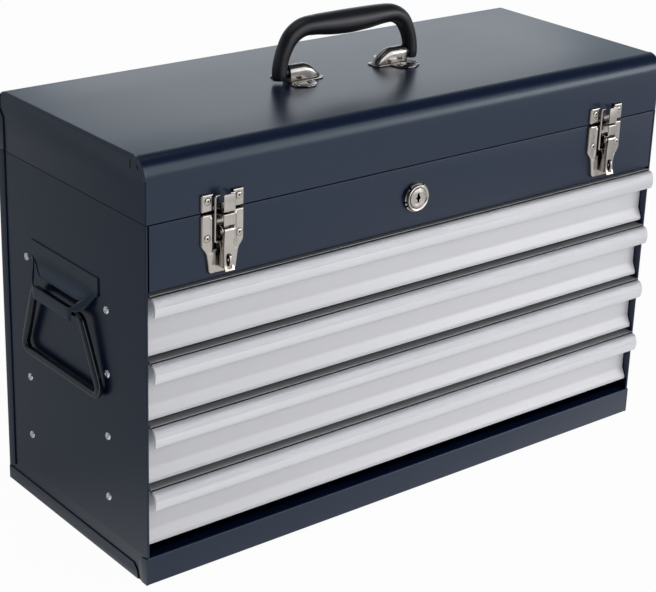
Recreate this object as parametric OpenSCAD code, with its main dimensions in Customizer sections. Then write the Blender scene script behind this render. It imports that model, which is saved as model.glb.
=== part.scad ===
// Portable steel tool box: hinged lid over a top tray, four drawers on ball runners,
// two draw latches, a cam lock, a swinging carry handle and a drop handle on each side.
// Frame: +Z up, front is -Y, +X to the right, origin at the middle of the underside.

/* [Cabinet] */
// Overall width over the folded flanges
body_w = 530; // [480:1:560]
// Depth of the cabinet, front sheet to back sheet
body_d = 213; // [200:1:230]
// Height to the top of the closed lid
body_h = 342; // [340:1:350]
// Height of the seam between cabinet and lid
seam_z = 293.4; // [293:0.1:296]
// Steel sheet thickness
sheet = 1; // [0.9:0.1:1.2]
// Radius of the big bends at the front and back of the lid
lid_r = 14; // [8:1:20]
// Height of the plinth at the front
plinth_h = 23.6; // [20:0.1:26]
// Height of the base pan's flange up the sides
base_flange_h = 12; // [8:1:16]
// Width of the back sheet's flange along the sides
back_flange_w = 10.5; // [8:0.5:14]

/* [Drawers] */
// Number of drawers
drawer_n = 4; // [4:1:4]
// Height from one drawer top to the next
pitch = 52.3; // [52:0.1:52.6]
// Top of the uppermost drawer pull
drawer_top = 240; // [239:0.5:240.5]
// How far the drawer faces sit behind the cabinet's front edge
recess = 6.4; // [5:0.1:8]
// Drawer box depth
pan_d = 190; // [170:1:195]

/* [Runners] */
// Height of the fixed runner channel
runner_h = 24; // [22:1:26]
// Radius of the runner balls
ball_r = 1.75; // [1.5:0.05:1.8]
// Balls in each row of a cage
balls_per_row = 4; // [3:1:6]

/* [Handles] */
// Carry handle, width over both arms
grip_w = 146; // [130:1:160]
// Carry handle, height of its top over the lid
grip_h = 51.5; // [45:0.5:55]
// Drop handle, width over its lower corners
bail_w = 127; // [110:1:135]
// Drop handle, swing axis to the middle of the lower bar
bail_drop = 61; // [50:1:66]

/* [Latches and lock] */
// Distance of each latch from the middle
latch_x = 199; // [180:1:215]
// Height of the latch lever's pin
latch_pin_z = 279.8; // [279.5:0.1:280]
// Sideways place of the lock
lock_x = -12; // [-60:1:60]
// Height of the lock
lock_z = 266.5; // [262:0.5:270]

/* [Hidden] */
$fn = 48;
slate = [0.20, 0.23, 0.29];
silver = [0.80, 0.80, 0.82];
nickel = [0.78, 0.76, 0.72];
zinc = [0.62, 0.63, 0.65];
black = [0.06, 0.06, 0.07];
eps = 0.02;

front_y = -body_d / 2;
back_y = body_d / 2;
half_w = body_w / 2;
side_x = half_w - sheet;             // outer face of the side panels
side_in = side_x - sheet;            // inner face of the side panels
seam_gap = 0.5;
body_top = seam_z - seam_gap / 2;
lid_bottom = seam_z + seam_gap / 2;
hem_d = 8;                           // folded hem along the front edge of a side
hem_in = side_in - sheet;            // inner face of that hem
panel_half = hem_in - 0.4;           // lock panel, half width
panel_bottom = drawer_top + 1.5;
lip_y = front_y + 2.3;               // raised lip inside the lid's front
lip_top = seam_z + 5.2;

face_y = front_y + recess;           // outer plane of the drawer faces
face_half = hem_in - 0.8;            // drawer face, half width
face_h = 49.6;                       // drawer top to the bottom lip
pan_front = face_y + sheet + 1.2;
pan_half = side_in - 10.6;           // drawer box, half width
pan_bottom = 47.4;                   // below the drawer top
pan_h = 38;
runner_drop = 30;                    // runner centre below the drawer top
runner_in = side_in - 8.6;
runner_y0 = face_y + 3;
runner_y1 = runner_y0 + 196;
rivet_spots = [[-52, 0], [66, 4]];   // along the depth, and over the runner's middle
ball_x = side_in - 4.7;
ball_dz = 8.6;
groove_r = ball_r + 0.25;
inner_web = pan_half + sheet;
cage_y0 = -22;
cage_len = 100;

hinge_r = 2.2;
hinge_y = back_y + hinge_r + 0.4;
hinge_pin_r = 1.0;
hinge_half = 240;
knuckle = 20;
knuckle_n = 2 * hinge_half / knuckle;
leaf_t = 0.8;
leaf_h = 17;

latch_w = 40;
wire_r = 0.9;
wire_u = 7.6;                        // the wire loop's legs, each side of the lever
lever_half = 5;
tongue_half = 5.2;
latch_face = 11.3;                   // lever face in front of the panel
lever_pin_out = 8.1;
loop_pin_out = 4.5;
loop_pin_z = latch_pin_z - 8.8;
loop_top_z = 304;
latch_rivets = [[-13.75, 302.5], [13.75, 302.5]];
base_rivets = [[-13.75, 272.5], [13.75, 272.5]];

lock_ring_r = 10.8;
lock_body_r = 9;
lock_plug_r = 7.6;

grip_axis_z = 8;                     // carry handle axis over the lid
saddle_x0 = 43;                      // rounded inner end of a saddle
saddle_x1 = 60;                    // open outer end
boss_r = 4;
grip_arm_x = grip_w / 2 - 6.5;

bail_y = 7.5;                        // middle of a drop handle, along the depth
bail_axis_z = 197;
bail_out = 7;                        // its axis, outside the side panel
bail_top_half = 35;
bracket_top = 232;

// ---- helpers -------------------------------------------------------------

function drawer_z(k) = drawer_top - (k - 1) * pitch;
function unit(v) = v / norm(v);
function left_of(v) = [-v[1], v[0]];
// A point of a path moved sideways by t, mitred at the bends
function shifted(p, i, t) =
  let (a = i > 0 ? unit(p[i] - p[i - 1]) : unit(p[1] - p[0]),
       b = i < len(p) - 1 ? unit(p[i + 1] - p[i]) : a,
       n = unit(left_of(a) + left_of(b)))
  p[i] + n * t / (n * left_of(a));
function arc(c, r, a0, a1, n) =
  [for (i = [0:n]) c + r * [cos(a0 + (a1 - a0) * i / n), sin(a0 + (a1 - a0) * i / n)]];

// A bent strip of sheet: the path and its copy t to the left
module strip(path, t) {
  polygon(concat(path, [for (i = [len(path) - 1:-1:0]) shifted(path, i, t)]));
}

// A polygon whose outward corners are true arcs of radius r
module rounded(p, r) {
  n = len(p);
  turn = [for (i = [0:n - 1]) cross(p[i], p[(i + 1) % n])] * [for (i = [0:n - 1]) 1] > 0 ? 1 : -1;
  corner = [for (i = [0:n - 1])
    let (a = unit(p[(i + n - 1) % n] - p[i]),
         b = unit(p[(i + 1) % n] - p[i]),
         half = acos(a * b) / 2,
         out = turn * cross(-a, b) > 0.01)
    [p[i], a, b, out ? r / tan(half) : 0, unit(a + b) * r / sin(half)]];
  polygon([for (c = corner) each c[3] > 0 ? [c[0] + c[1] * c[3], c[0] + c[2] * c[3]] : [c[0]]]);
  for (c = corner) if (c[3] > 0) translate(c[0] + c[4]) circle(r);
}

// A drawing in (Y, Z) drawn out along X, and one in (X, Z) drawn out along Y
module along_x(x0, x1) {
  translate([x0, 0, 0]) rotate([90, 0, 90]) linear_extrude(x1 - x0) children();
}

module along_y(y0, y1) {
  translate([0, y1, 0]) rotate([90, 0, 0]) linear_extrude(y1 - y0) children();
}

module rod_x(x0, x1, r) {
  translate([x0, 0, 0]) rotate([0, 90, 0]) cylinder(h = x1 - x0, r = r);
}

module rod_y(y0, y1, r) {
  translate([0, y1, 0]) rotate([90, 0, 0]) cylinder(h = y1 - y0, r = r);
}

module on_side(s) {
  mirror([s < 0 ? 1 : 0, 0, 0]) children();
}

// A solid skinned over rings of equally many points
module loft(rings) {
  n = len(rings[0]);
  m = len(rings);
  points = [for (r = rings) each r];
  sides = [for (j = [0:m - 2], i = [0:n - 1])
    [j * n + i, j * n + (i + 1) % n, (j + 1) * n + (i + 1) % n, (j + 1) * n + i]];
  ends = [[for (i = [n - 1:-1:0]) i], [for (i = [0:n - 1]) (m - 1) * n + i]];
  polyhedron(points, concat(sides, ends), convexity = 6);
}

// The same with the last ring joined to the first
module loft_loop(rings) {
  n = len(rings[0]);
  m = len(rings);
  points = [for (r = rings) each r];
  polyhedron(points, [for (j = [0:m - 1], i = [0:n - 1])
    [j * n + i, j * n + (i + 1) % n, ((j + 1) % m) * n + (i + 1) % n, ((j + 1) % m) * n + i]],
    convexity = 6);
}

// ---- cabinet -------------------------------------------------------------

module side_rivet_holes(r) {
  for (k = [1:drawer_n], p = rivet_spots)
    translate([0, p[0], drawer_z(k) - runner_drop + p[1]]) rod_x(side_in - 2, side_x + 2, r);
}

module side_panel(s) {
  color(slate) on_side(s) difference() {
    union() {
      translate([side_in, front_y, sheet])
        cube([sheet, body_d - sheet, body_top - sheet]);
      translate([hem_in, front_y, plinth_h + 0.4])
        cube([sheet, hem_d, body_top - plinth_h - 0.4]);
    }
    translate([side_in - 1, front_y - 1, 0]) cube([3, 1 + sheet, plinth_h + 0.4]);
    side_rivet_holes(1.6);
  }
}

module back_panel() {
  flange_y = back_y - back_flange_w;
  color(slate) intersection() {
    translate([0, 0, base_flange_h + 0.3]) linear_extrude(body_top - base_flange_h - 0.3)
      strip([[half_w, flange_y], [half_w, back_y], [-half_w, back_y], [-half_w, flange_y]], sheet);
    along_x(-half_w, half_w)   // the flanges' lower ends are mitred
      polygon([[flange_y - 1, base_flange_h + 4], [back_y - 6, base_flange_h - 1],
        [back_y + 1, base_flange_h - 1], [back_y + 1, body_top + 1], [flange_y - 1, body_top + 1]]);
  }
}

module base_pan() {
  wrap = 11;
  color(slate) {
    translate([-side_x, front_y + sheet, 0]) cube([2 * side_x, body_d - 2 * sheet, sheet]);
    along_x(-side_in + 0.2, side_in - 0.2) strip([[front_y + 10, plinth_h], [front_y, plinth_h],
      [front_y, plinth_h - 3]], sheet);
    along_x(-half_w, half_w) strip([[front_y, plinth_h], [front_y, 0], [front_y + 3, 0]], sheet);
    translate([-half_w, back_y - sheet, 0]) cube([body_w, sheet, base_flange_h]);
    for (s = [-1, 1]) on_side(s) {
      along_x(side_x, half_w) polygon([[front_y + wrap + 2.5, 0], [back_y, 0],
        [back_y, base_flange_h], [front_y + wrap + 6, base_flange_h],
        [front_y + wrap + 2.5, base_flange_h - 8]]);
      along_x(side_x, half_w) polygon([[front_y, 0], [front_y + wrap - 3, 0],
        [front_y + wrap, 3], [front_y + wrap, plinth_h - 6],
        [front_y + wrap - 3.5, plinth_h - 2.5], [front_y, plinth_h - 0.6]]);
      translate([side_x - 1, front_y + sheet, 0]) cube([2, body_d - 2 * sheet, sheet]);
    }
  }
}

module lock_panel() {
  color(slate) difference() {
    union() {
      along_x(-panel_half, panel_half) strip([[front_y + 11, panel_bottom],
        [front_y, panel_bottom], [front_y, body_top], [lip_y, body_top],
        [lip_y, lip_top]], -sheet);
      for (s = [-1, 1]) on_side(s) translate([0, 0, panel_bottom + sheet])
        linear_extrude(body_top - panel_bottom - 2 * sheet)
          strip([[panel_half, front_y + sheet], [panel_half, front_y + hem_d + 0.3],
            [side_in, front_y + hem_d + 0.3], [side_in, front_y + 26]], sheet);
    }
    translate([lock_x, 0, lock_z]) rod_y(front_y - 1, front_y + 2, lock_body_r + 0.05);
    for (s = [-1, 1], h = base_rivets)
      translate([s * latch_x + h[0], 0, h[1]]) rod_y(front_y - 1, front_y + 2, 1.5);
  }
}

module tray_floor() {
  z = panel_bottom + sheet;
  color(slate) difference() {
    union() {
      along_y(front_y + sheet, back_y - sheet) strip([[-side_in, z + 14], [-side_in, z],
        [side_in, z], [side_in, z + 14]], sheet);
      translate([-side_in, back_y - 2 * sheet, z]) cube([2 * side_in, sheet, 14]);
    }
    for (s = [-1, 1]) on_side(s)
      translate([panel_half - sheet - 0.4, front_y - 1, z - 1]) cube([9, 28, 20]);
  }
}

module outer_runner(k) {
  z = drawer_z(k) - runner_drop;
  half = runner_h / 2;
  difference() {
    along_y(runner_y0, runner_y1) difference() {
      polygon([[side_in, z - half], [side_in, z + half], [runner_in, z + half],
        [runner_in, z + half - 2.4], [side_in - 1, z + half - 2.4], [side_in - 1, z - half + 2.4],
        [runner_in, z - half + 2.4], [runner_in, z - half]]);
      for (t = [-1, 1]) translate([ball_x, z + t * ball_dz]) circle(groove_r);
    }
    side_rivet_holes(1.6);
  }
}

module outer_runners() {
  color(zinc) for (s = [-1, 1], k = [1:drawer_n]) on_side(s) outer_runner(k);
}

module runner_rivets() {
  color(zinc) for (s = [-1, 1], k = [1:drawer_n], p = rivet_spots)
    on_side(s) translate([0, p[0], drawer_z(k) - runner_drop + p[1]]) {
      rod_x(side_in - sheet, side_x, 1.6);
      difference() {
        translate([side_x, 0, 0]) rotate([0, 90, 0]) cylinder(h = 1.3, r1 = 4, r2 = 2.9);
        rod_x(side_x + 0.7, side_x + 3, 1.2);
      }
      rod_x(side_in - sheet - 0.4, side_in - sheet, 2.4);
    }
}

// ---- lid and hinge -------------------------------------------------------

module lid_profile(inset) {
  r = lid_r - inset;
  d = body_d - 2 * inset;
  top = body_h - inset;
  translate([-d / 2, lid_bottom - 2 * inset]) square([d, top - r - lid_bottom + 2 * inset]);
  translate([-d / 2 + r, lid_bottom - 2 * inset]) square([d - 2 * r, top - lid_bottom + 2 * inset]);
  for (s = [-1, 1]) translate([s * (d / 2 - r), top - r]) circle(r);
}

module lid_front_view(inset) {
  r = 2.4 - inset;
  w = 2 * side_x - 2 * inset;
  top = body_h - inset;
  translate([-w / 2, lid_bottom - 2 * inset]) square([w, top - r - lid_bottom + 2 * inset]);
  translate([-w / 2 + r, lid_bottom - 2 * inset]) square([w - 2 * r, top - lid_bottom + 2 * inset]);
  for (s = [-1, 1]) translate([s * (w / 2 - r), top - r]) circle(r);
}

module lid_solid(inset) {
  intersection() {
    along_x(-half_w, half_w) lid_profile(inset);
    along_y(front_y, back_y) lid_front_view(inset);
  }
}

module lid_shell() {
  tab_top = body_h - 15;
  slit_y = front_y + 19;
  color(slate) difference() {
    union() {
      difference() {
        lid_solid(0);
        lid_solid(sheet);
      }
      for (s = [-1, 1]) on_side(s) along_x(side_x, half_w)
        polygon([[back_y - back_flange_w, lid_bottom], [back_y, lid_bottom], [back_y, tab_top],
          [back_y - 4, tab_top], [back_y - back_flange_w, tab_top - 8]]);
    }
    for (s = [-1, 1]) on_side(s) {
      translate([side_x - 1.6, slit_y, body_h - 12]) cube([3, 1.2, 8.5]);
      translate([side_x - 1.6, back_y - 6.5, body_h - 12]) cube([3, 1.4, 7]);
    }
    for (s = [-1, 1], h = latch_rivets)
      translate([s * latch_x + h[0], 0, h[1]]) rod_y(front_y - 1, front_y + 2, 1.5);
    for (s = [-1, 1], h = saddle_holes())
      translate([s * h[0], h[1], body_h - 2]) cylinder(h = 4, r = 1.6);
  }
}

// Hangs behind the lock panel; the cam turns over its foot
module lid_catch() {
  color(slate) along_x(lock_x - 27, lock_x - 15)
    strip([[front_y + sheet, lid_bottom + 20], [front_y + sheet, lid_bottom + 7],
      [front_y + 10, lid_bottom + 7], [front_y + 10, lock_z - 9],
      [front_y + 27, lock_z - 9]], sheet);
}

module knuckles(first) {
  for (i = [first:2:knuckle_n - 1])
    translate([0, hinge_y, seam_z])
      rod_x(-hinge_half + i * knuckle + 0.15, -hinge_half + (i + 1) * knuckle - 0.15, hinge_r);
}

// One leaf: its plate on the outside of the back and every second knuckle
module hinge_leaf(first, up) {
  near = hinge_r + 0.5;
  difference() {
    union() {
      knuckles(first);
      translate([-hinge_half, back_y, up ? seam_z + near : seam_z - leaf_h])
        cube([2 * hinge_half, leaf_t, leaf_h - near]);
      for (i = [first:2:knuckle_n - 1])
        translate([-hinge_half + i * knuckle + 0.15, back_y, up ? seam_z : seam_z - near])
          cube([knuckle - 0.3, leaf_t, near]);
    }
    translate([0, hinge_y, seam_z]) rod_x(-hinge_half - 1, hinge_half + 1, hinge_pin_r + 0.05);
  }
}

module hinge_body_leaf() {
  color(slate) hinge_leaf(0, false);
}

module hinge_lid_leaf() {
  color(slate) hinge_leaf(1, true);
}

module hinge_pin() {
  color(zinc) translate([0, hinge_y, seam_z]) rod_x(-hinge_half + 0.2, hinge_half - 0.2, hinge_pin_r);
}

// ---- latches -------------------------------------------------------------

// Latch drawings are in (out, Z), with out measured forward from the panel
module latch_slab(s, u0, u1) {
  translate([s * latch_x, front_y, 0]) mirror([0, 1, 0]) along_x(u0, u1) children();
}

module latch_plate(s, outline, holes) {
  translate([s * latch_x, 0, 0]) difference() {
    along_y(front_y - 1.2, front_y) rounded(outline, 1);
    for (h = holes) translate([h[0], 0, h[1]]) rod_y(front_y - 2, front_y + 1, 1.5);
  }
}

module latch_base(s) {
  top = 290.6;
  bottom = 245.2;
  w = latch_w / 2;
  color(nickel) difference() {
    union() {
      latch_plate(s, [[-w, top], [w, top], [w, 266], [w - 5, 261.5], [w - 7.5, bottom],
        [-w + 7.5, bottom], [-w + 5, 261.5], [-w, 266]], base_rivets);
      latch_slab(s, -tongue_half, tongue_half)
        strip([[1, 289.6 + 1.2], [latch_face, 289.6 + 1.2 + 2.0], [latch_face, latch_pin_z + 4.2]], -1);
      for (t = [-1, 1]) {
        latch_slab(s, t * 5.9 - 0.4, t * 5.9 + 0.4)
          polygon([[1, latch_pin_z - 4], [lever_pin_out + 1, latch_pin_z - 2.4],
            [lever_pin_out + 2.2, latch_pin_z], [lever_pin_out + 1, latch_pin_z + 2.4],
            [1, latch_pin_z + 3.8]]);
        latch_slab(s, t * 9.7 - 0.5, t * 9.7 + 0.5)
          polygon([[1, 264], [3.4, 267], [3.4, 287], [1, 289.5]]);
      }
      latch_slab(s, -0.8, 0.8) difference() {
        polygon([[1, 251.5], [13.2, 253], [14.4, 254.5], [14.4, 260.5], [13.2, 261.8], [1, 262.2]]);
        translate([11.9, 257.3]) circle(2);
      }
    }
    translate([0, front_y - lever_pin_out, latch_pin_z])
      rod_x(s * latch_x - 9, s * latch_x + 9, 1.2);
  }
}

module latch_pins() {
  color(nickel) for (s = [-1, 1]) translate([0, front_y - lever_pin_out, latch_pin_z])
    rod_x(s * latch_x - 6.3, s * latch_x + 6.3, 1.2);
}

module dome_rivet(length) {
  translate([0, 0, -length]) cylinder(h = length, r = 1.5);
  translate([0, 0, -length - 0.8]) cylinder(h = 0.8, r = 2.4);
  cylinder(h = 1.2, r1 = 3, r2 = 1.9);
}

module latch_rivets() {
  color(nickel) for (s = [-1, 1], h = base_rivets)
    translate([s * latch_x + h[0], front_y - 1.2, h[1]]) rotate([90, 0, 0]) dome_rivet(2.2);
}

module keeper_rivets() {
  color(nickel) for (s = [-1, 1], h = latch_rivets)
    translate([s * latch_x + h[0], front_y - 1.2, h[1]]) rotate([90, 0, 0]) dome_rivet(2.2);
}

module keeper(s) {
  w = latch_w / 2;
  color(nickel) {
    latch_plate(s, [[-w, 296], [-w + 1, 294.4], [w - 1, 294.4], [w, 296], [w, 310.5], [8, 310.5],
      [8, 306], [-8, 306], [-8, 310.5], [-w, 310.5]], latch_rivets);
    latch_slab(s, -tongue_half, tongue_half)
      strip([[1, 295.4], [latch_face, 293.9], [latch_face, 309.5]], 1);
  }
}

module lever(s) {
  x = s * latch_x;
  r = latch_face - lever_pin_out;
  z = latch_pin_z;
  color(nickel) difference() {
    union() {
      latch_slab(s, -lever_half, lever_half) {
        difference() {
          polygon([[latch_face - 1, z], [latch_face, z], [latch_face, 256], [latch_face + 0.8, 250.5],
            [latch_face + 2.2, 247.6], [latch_face + 1.6, 246.6], [latch_face - 0.2, 250.2],
            [latch_face - 1, 256]]);
        }
        translate([lever_pin_out, z]) circle(r);
      }
      for (t = [-1, 1]) latch_slab(s, t * (lever_half - 0.5) - 0.5, t * (lever_half - 0.5) + 0.5)
        polygon([[3.4, z - 2], [lever_pin_out, z], [latch_face - 0.4, z], [latch_face - 0.4, 252],
          [8.4, 253], [5.4, loop_pin_z - 5], [2.9, loop_pin_z - 1.4], [2.7, loop_pin_z + 3]]);
    }
    translate([0, front_y - lever_pin_out, z]) rod_x(x - 9, x + 9, 1.25);
    translate([0, front_y - loop_pin_out, loop_pin_z]) rod_x(x - 9, x + 9, wire_r + 0.05);
    translate([x - lever_half + 1, front_y - latch_face + 1 - 0.01, z - 4.8])
      cube([2 * lever_half - 2, 9, 9]);
    translate([x - 2, front_y - latch_face - 3, 249.6]) cube([4, 6, 15]);
  }
}

// U-shaped wire: the cross part is the pin in the lever, the tops turn in beside the keeper
module wire_loop(s) {
  x = s * latch_x;
  y = front_y - loop_pin_out;
  color(nickel) translate([x, y, 0]) {
    translate([0, 0, loop_pin_z]) rod_x(-wire_u, wire_u, wire_r);
    for (t = [-1, 1]) on_side(t) {
      translate([wire_u, 0, loop_pin_z]) cylinder(h = loop_top_z - loop_pin_z, r = wire_r);
      translate([wire_u, 0, loop_pin_z]) sphere(wire_r);
      translate([wire_u, 0, loop_top_z]) sphere(wire_r);
      translate([0, 0, loop_top_z]) rod_x(tongue_half + 0.35, wire_u, wire_r);
    }
  }
}

// ---- lock ----------------------------------------------------------------

module lock_place() {
  translate([lock_x, 0, lock_z]) children();
}

module lock_housing() {
  teeth = 12;
  color(nickel) lock_place() difference() {
    union() {
      rod_y(front_y, front_y + 22, lock_body_r);
      difference() {
        rod_y(front_y - 2.4, front_y, lock_ring_r + 1.2);
        for (i = [0:teeth - 1]) rotate([0, i * 360 / teeth, 0])
          translate([lock_ring_r - 0.3, front_y - 3, -1.3]) cube([3, 2.2, 2.6]);
      }
      rod_y(front_y - 4.8, front_y, lock_ring_r);
    }
    rod_y(front_y - 6, front_y + 30, lock_plug_r + 0.05);
    difference() {
      rod_y(front_y - 5, front_y - 3.9, lock_ring_r - 1.3);
    }
  }
}

module lock_nut() {
  color(zinc) lock_place() difference() {
    translate([0, front_y + sheet + 4, 0]) rotate([90, 0, 0]) cylinder(h = 4, r = 13, $fn = 6);
    rod_y(front_y, front_y + 8, lock_body_r);
  }
}

module lock_plug() {
  color(nickel) lock_place() difference() {
    union() {
      rod_y(front_y - 4.2, front_y + 22.6, lock_plug_r);
      translate([-3, front_y + 22.6, -3]) cube([6, 2, 6]);
    }
    along_y(front_y - 6, front_y + 14) polygon([[-0.7, -4.2], [0.5, -4.2], [0.5, -2.2], [1.2, -1.4],
      [0.3, -0.4], [0.3, 0.6], [1.3, 1.4], [0.5, 2.6], [0.5, 4.2], [-0.7, 4.2], [-0.7, 2.2],
      [-1.4, 1.2], [-0.7, 0.2], [-0.7, -1], [-1.5, -2]]);
    rod_y(front_y + 18, front_y + 26, 1.5);
  }
}

module lock_cam() {
  color(zinc) lock_place() difference() {
    along_y(front_y + 22.6, front_y + 24.6) difference() {
      union() {
        circle(7);
        translate([-6.5, 0]) square([13, 20]);
        translate([0, 20]) circle(6.5);
      }
      translate([-3, -3]) square([6, 6]);
    }
  }
}

module cam_screw() {
  color(zinc) lock_place() {
    rod_y(front_y + 18, front_y + 25, 1.5);
    difference() {
      rod_y(front_y + 24.6, front_y + 27, 5);
      translate([-6, front_y + 26, -0.5]) cube([12, 2, 1]);
    }
  }
}

// ---- carry handle --------------------------------------------------------

function saddle_holes() = [[52, -12.6], [52, 12.6]];

// A smooth curve through the points (Catmull-Rom), n steps a span
function curve(p, n) = [for (i = [1:len(p) - 3], j = [0:n - 1])
  let (t = j / n, a = p[i - 1], b = p[i], c = p[i + 1], d = p[i + 2])
  0.5 * (2 * b + (c - a) * t + (2 * a - 5 * b + 4 * c - d) * t * t
    + (3 * b - a - 3 * c + d) * t * t * t)];

// Half of the grip from its arm end to the top: [x, z, half thickness in plane, half depth]
grip_half = [[66.5, 2.5, 5.6, 5.4], [66.8, 7.5, 6.1, 6], [66, 17, 6.2, 6.2], [63.5, 27, 6.4, 6.6],
  [57.5, 36.5, 7, 7.2], [47, 42.6, 7.4, 8.2], [34, 43.6, 8.0, 9.2], [18, 42.6, 8.9, 9.8]];

module grip() {
  half = [for (g = grip_half) [g[0] * grip_w / 146, g[1] * grip_h / 51.5, g[2], g[3]]];
  keys = concat([for (g = half) [-g[0], g[1], g[2], g[3]]], [[0, 42.3, 9.2, 10]],
    [for (i = [len(half) - 1:-1:0]) half[i]]);
  first = 2 * keys[0] - keys[1];
  last = 2 * keys[len(keys) - 1] - keys[len(keys) - 2];
  path = concat(curve(concat([first], keys, [last]), 3), [keys[len(keys) - 1]]);
  n = 16;
  rings = [for (i = [0:len(path) - 1])
    let (p = path[i],
         a = path[max(i - 1, 0)],
         b = path[min(i + 1, len(path) - 1)],
         d = unit([b[0] - a[0], b[1] - a[1]]))
    [for (j = [0:n - 1])
      let (c = cos(j * 360 / n) * p[2], e = sin(j * 360 / n) * p[3])
      [p[0] - d[1] * c, e, body_h + p[1] + d[0] * c]]];
  color(black) {
    loft(rings);
    for (s = [-1, 1]) on_side(s) translate([0, 0, body_h + grip_axis_z])
      rod_x(saddle_x0 + 8, grip_arm_x, boss_r);
  }
}

module saddle(s) {
  axis_z = body_h + grip_axis_z;
  r = 6.4;
  color(nickel) on_side(s) difference() {
    union() {
      translate([0, 0, axis_z]) rod_x(saddle_x0 + 3, saddle_x1, r);
      translate([saddle_x0 + 3, 0, axis_z]) sphere(r);
      translate([saddle_x0 + 3, -r, body_h]) cube([saddle_x1 - saddle_x0 - 3, 2 * r, grip_axis_z]);
      translate([saddle_x0 + 3, 0, body_h]) cylinder(h = grip_axis_z, r = r);
      translate([0, 0, body_h]) linear_extrude(1.2)
        rounded([[36, -5], [43, -7.5], [46.5, -17.5], [57.5, -17.5], [60, -9], [60, 9], [57.5, 17.5],
          [46.5, 17.5], [43, 7.5], [36, 5]], 2);
    }
    translate([0, 0, axis_z]) rod_x(saddle_x0 + 5, saddle_x1 + 1, boss_r + 0.06);
    translate([saddle_x0 + 5, -r + 1, body_h - 1]) cube([30, 2 * r - 2, grip_axis_z - 3.6]);
    for (h = saddle_holes()) translate([h[0], h[1], body_h - 1]) cylinder(h = 4, r = 1.6);
    translate([0, 0, body_h - 10]) cube([200, 60, 20], center = true);
  }
}

module saddle_rivets() {
  color(nickel) for (s = [-1, 1], h = saddle_holes())
    translate([s * h[0], h[1], body_h + 1.2]) {
      translate([0, 0, -2.2]) cylinder(h = 2.2, r = 1.6);
      translate([0, 0, -3]) cylinder(h = 0.8, r = 2.6);
      cylinder(h = 1.3, r1 = 2.9, r2 = 1.8);
    }
}

// ---- drop handles --------------------------------------------------------

// Bracket shape along the depth: u from the middle of the handle, front negative
strap_us = [-49.5, -46.5, -43, -39.5, -36, -32.5, -29, -26, -23, 23, 26, 29, 32.5, 36, 39.5, 43, 46.5,
  49.5];
function ease(t) = t <= 0 ? 0 : t >= 1 ? 1 : (1 - cos(180 * t)) / 2;
function rise(u) = ease((49.5 - abs(u)) / 25);
function strap_out(u) = 0.3 + 11.9 * rise(u);
function strap_top(u) = 221 - 16 * rise(u);
function strap_bottom(u) = max(203.4, strap_top(u) - 12);

module bail_bracket(s) {
  t = 1.2;
  n = len(strap_us);
  color(slate) on_side(s) translate([side_x, bail_y, 0]) {
    along_x(0, t) polygon([[-49.5, 220], [49.5, 220], [49.5, bracket_top], [-49.5, bracket_top]]);
    // flap leaning outward, trimmed back towards its ends
    intersection() {
      along_y(-49.3, 49.3) polygon([[0.1, 223], [1.1, 223], [3, 217.6], [6.2, 214.2], [5.4, 213.4],
        [2.1, 216.6], [0.1, 220.5]]);
      translate([0, 0, 205]) linear_extrude(20)
        polygon(concat([[0, -49.3]], [for (u = strap_us) [1.15 + 5.2 * rise(u), u * 0.995]], [[0, 49.3]]));
    }
    // strap: its plan cut to its side view
    intersection() {
      translate([0, 0, 190]) linear_extrude(35) strip([for (u = strap_us) [strap_out(u), u]], -t);
      along_x(-1, 16) polygon(concat([for (u = strap_us) [u, strap_top(u)]],
        [for (i = [n - 1:-1:0]) let (u = strap_us[i]) if (abs(u) > 28) [u, strap_bottom(u)]
          else if (i == n - 7) each [[27.5, 203.4], [27.5, 192.5], [-27.5, 192.5], [-27.5, 203.4]]]));
    }
    // the front end is closed between flap and strap
    translate([0, 0, 216.2]) linear_extrude(1.2)
      polygon(concat([[0.2, -49], [0.2, -34]], [for (i = [4:-1:0])
        [strap_out(strap_us[i]) + 0.4, strap_us[i] + 0.6]]));
    intersection() {
      translate([0, 0, 203]) linear_extrude(14.2) strip([for (i = [0:5]) [strap_out(strap_us[i]), strap_us[i]]], -t);
      along_x(-1, 16) polygon([[-48.9, 214], [-35.4, 204], [-35.4, 216.8], [-48.9, 216.8]]);
    }
  }
}

// Ring centres of the drop handle: top bar, arms slanting outward, lower bar
bail_slant = 23.5;
function bail_path() =
  let (top = arc([30, -7], 7, 90, bail_slant, 3),
       low = arc([bail_w / 2 - 15, 9 - bail_drop - 2], 9, bail_slant, -90, 5),
       a = top[3],
       b = low[0])
  concat(top, [a * 0.66 + b * 0.34, a * 0.33 + b * 0.67], low, [[28, low[5][1]], [10, low[5][1]]]);

module bail(s) {
  n = 10;
  right = bail_path();
  path = concat(right, [for (i = [len(right) - 1:-1:0]) [-right[i][0], right[i][1]]],
    [[-14, 0], [14, 0]]);
  k = len(path);
  rings = [for (i = [0:k - 1])
    let (p = path[i],
         d = unit(path[(i + 1) % k] - path[(i + k - 1) % k]),
         grow = min(1, max(0, -p[1] / 30)),
         w = 4.1 + 1.6 * grow,
         h = 4.1 + 0.7 * grow)
    [for (j = [0:n - 1])
      let (c = cos((j + 0.5) * 360 / n) * w, e = sin((j + 0.5) * 360 / n) * h)
      [side_x + bail_out + e - 0.9 * grow, bail_y + p[0] + d[1] * c, bail_axis_z + p[1] - d[0] * c]]];
  color(black) on_side(s) {
    loft_loop(rings);
    translate([side_x + bail_out, 0, bail_axis_z]) rod_y(bail_y - 28.5, bail_y + 28.5, 4.3);
  }
}

// ---- drawers -------------------------------------------------------------

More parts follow.
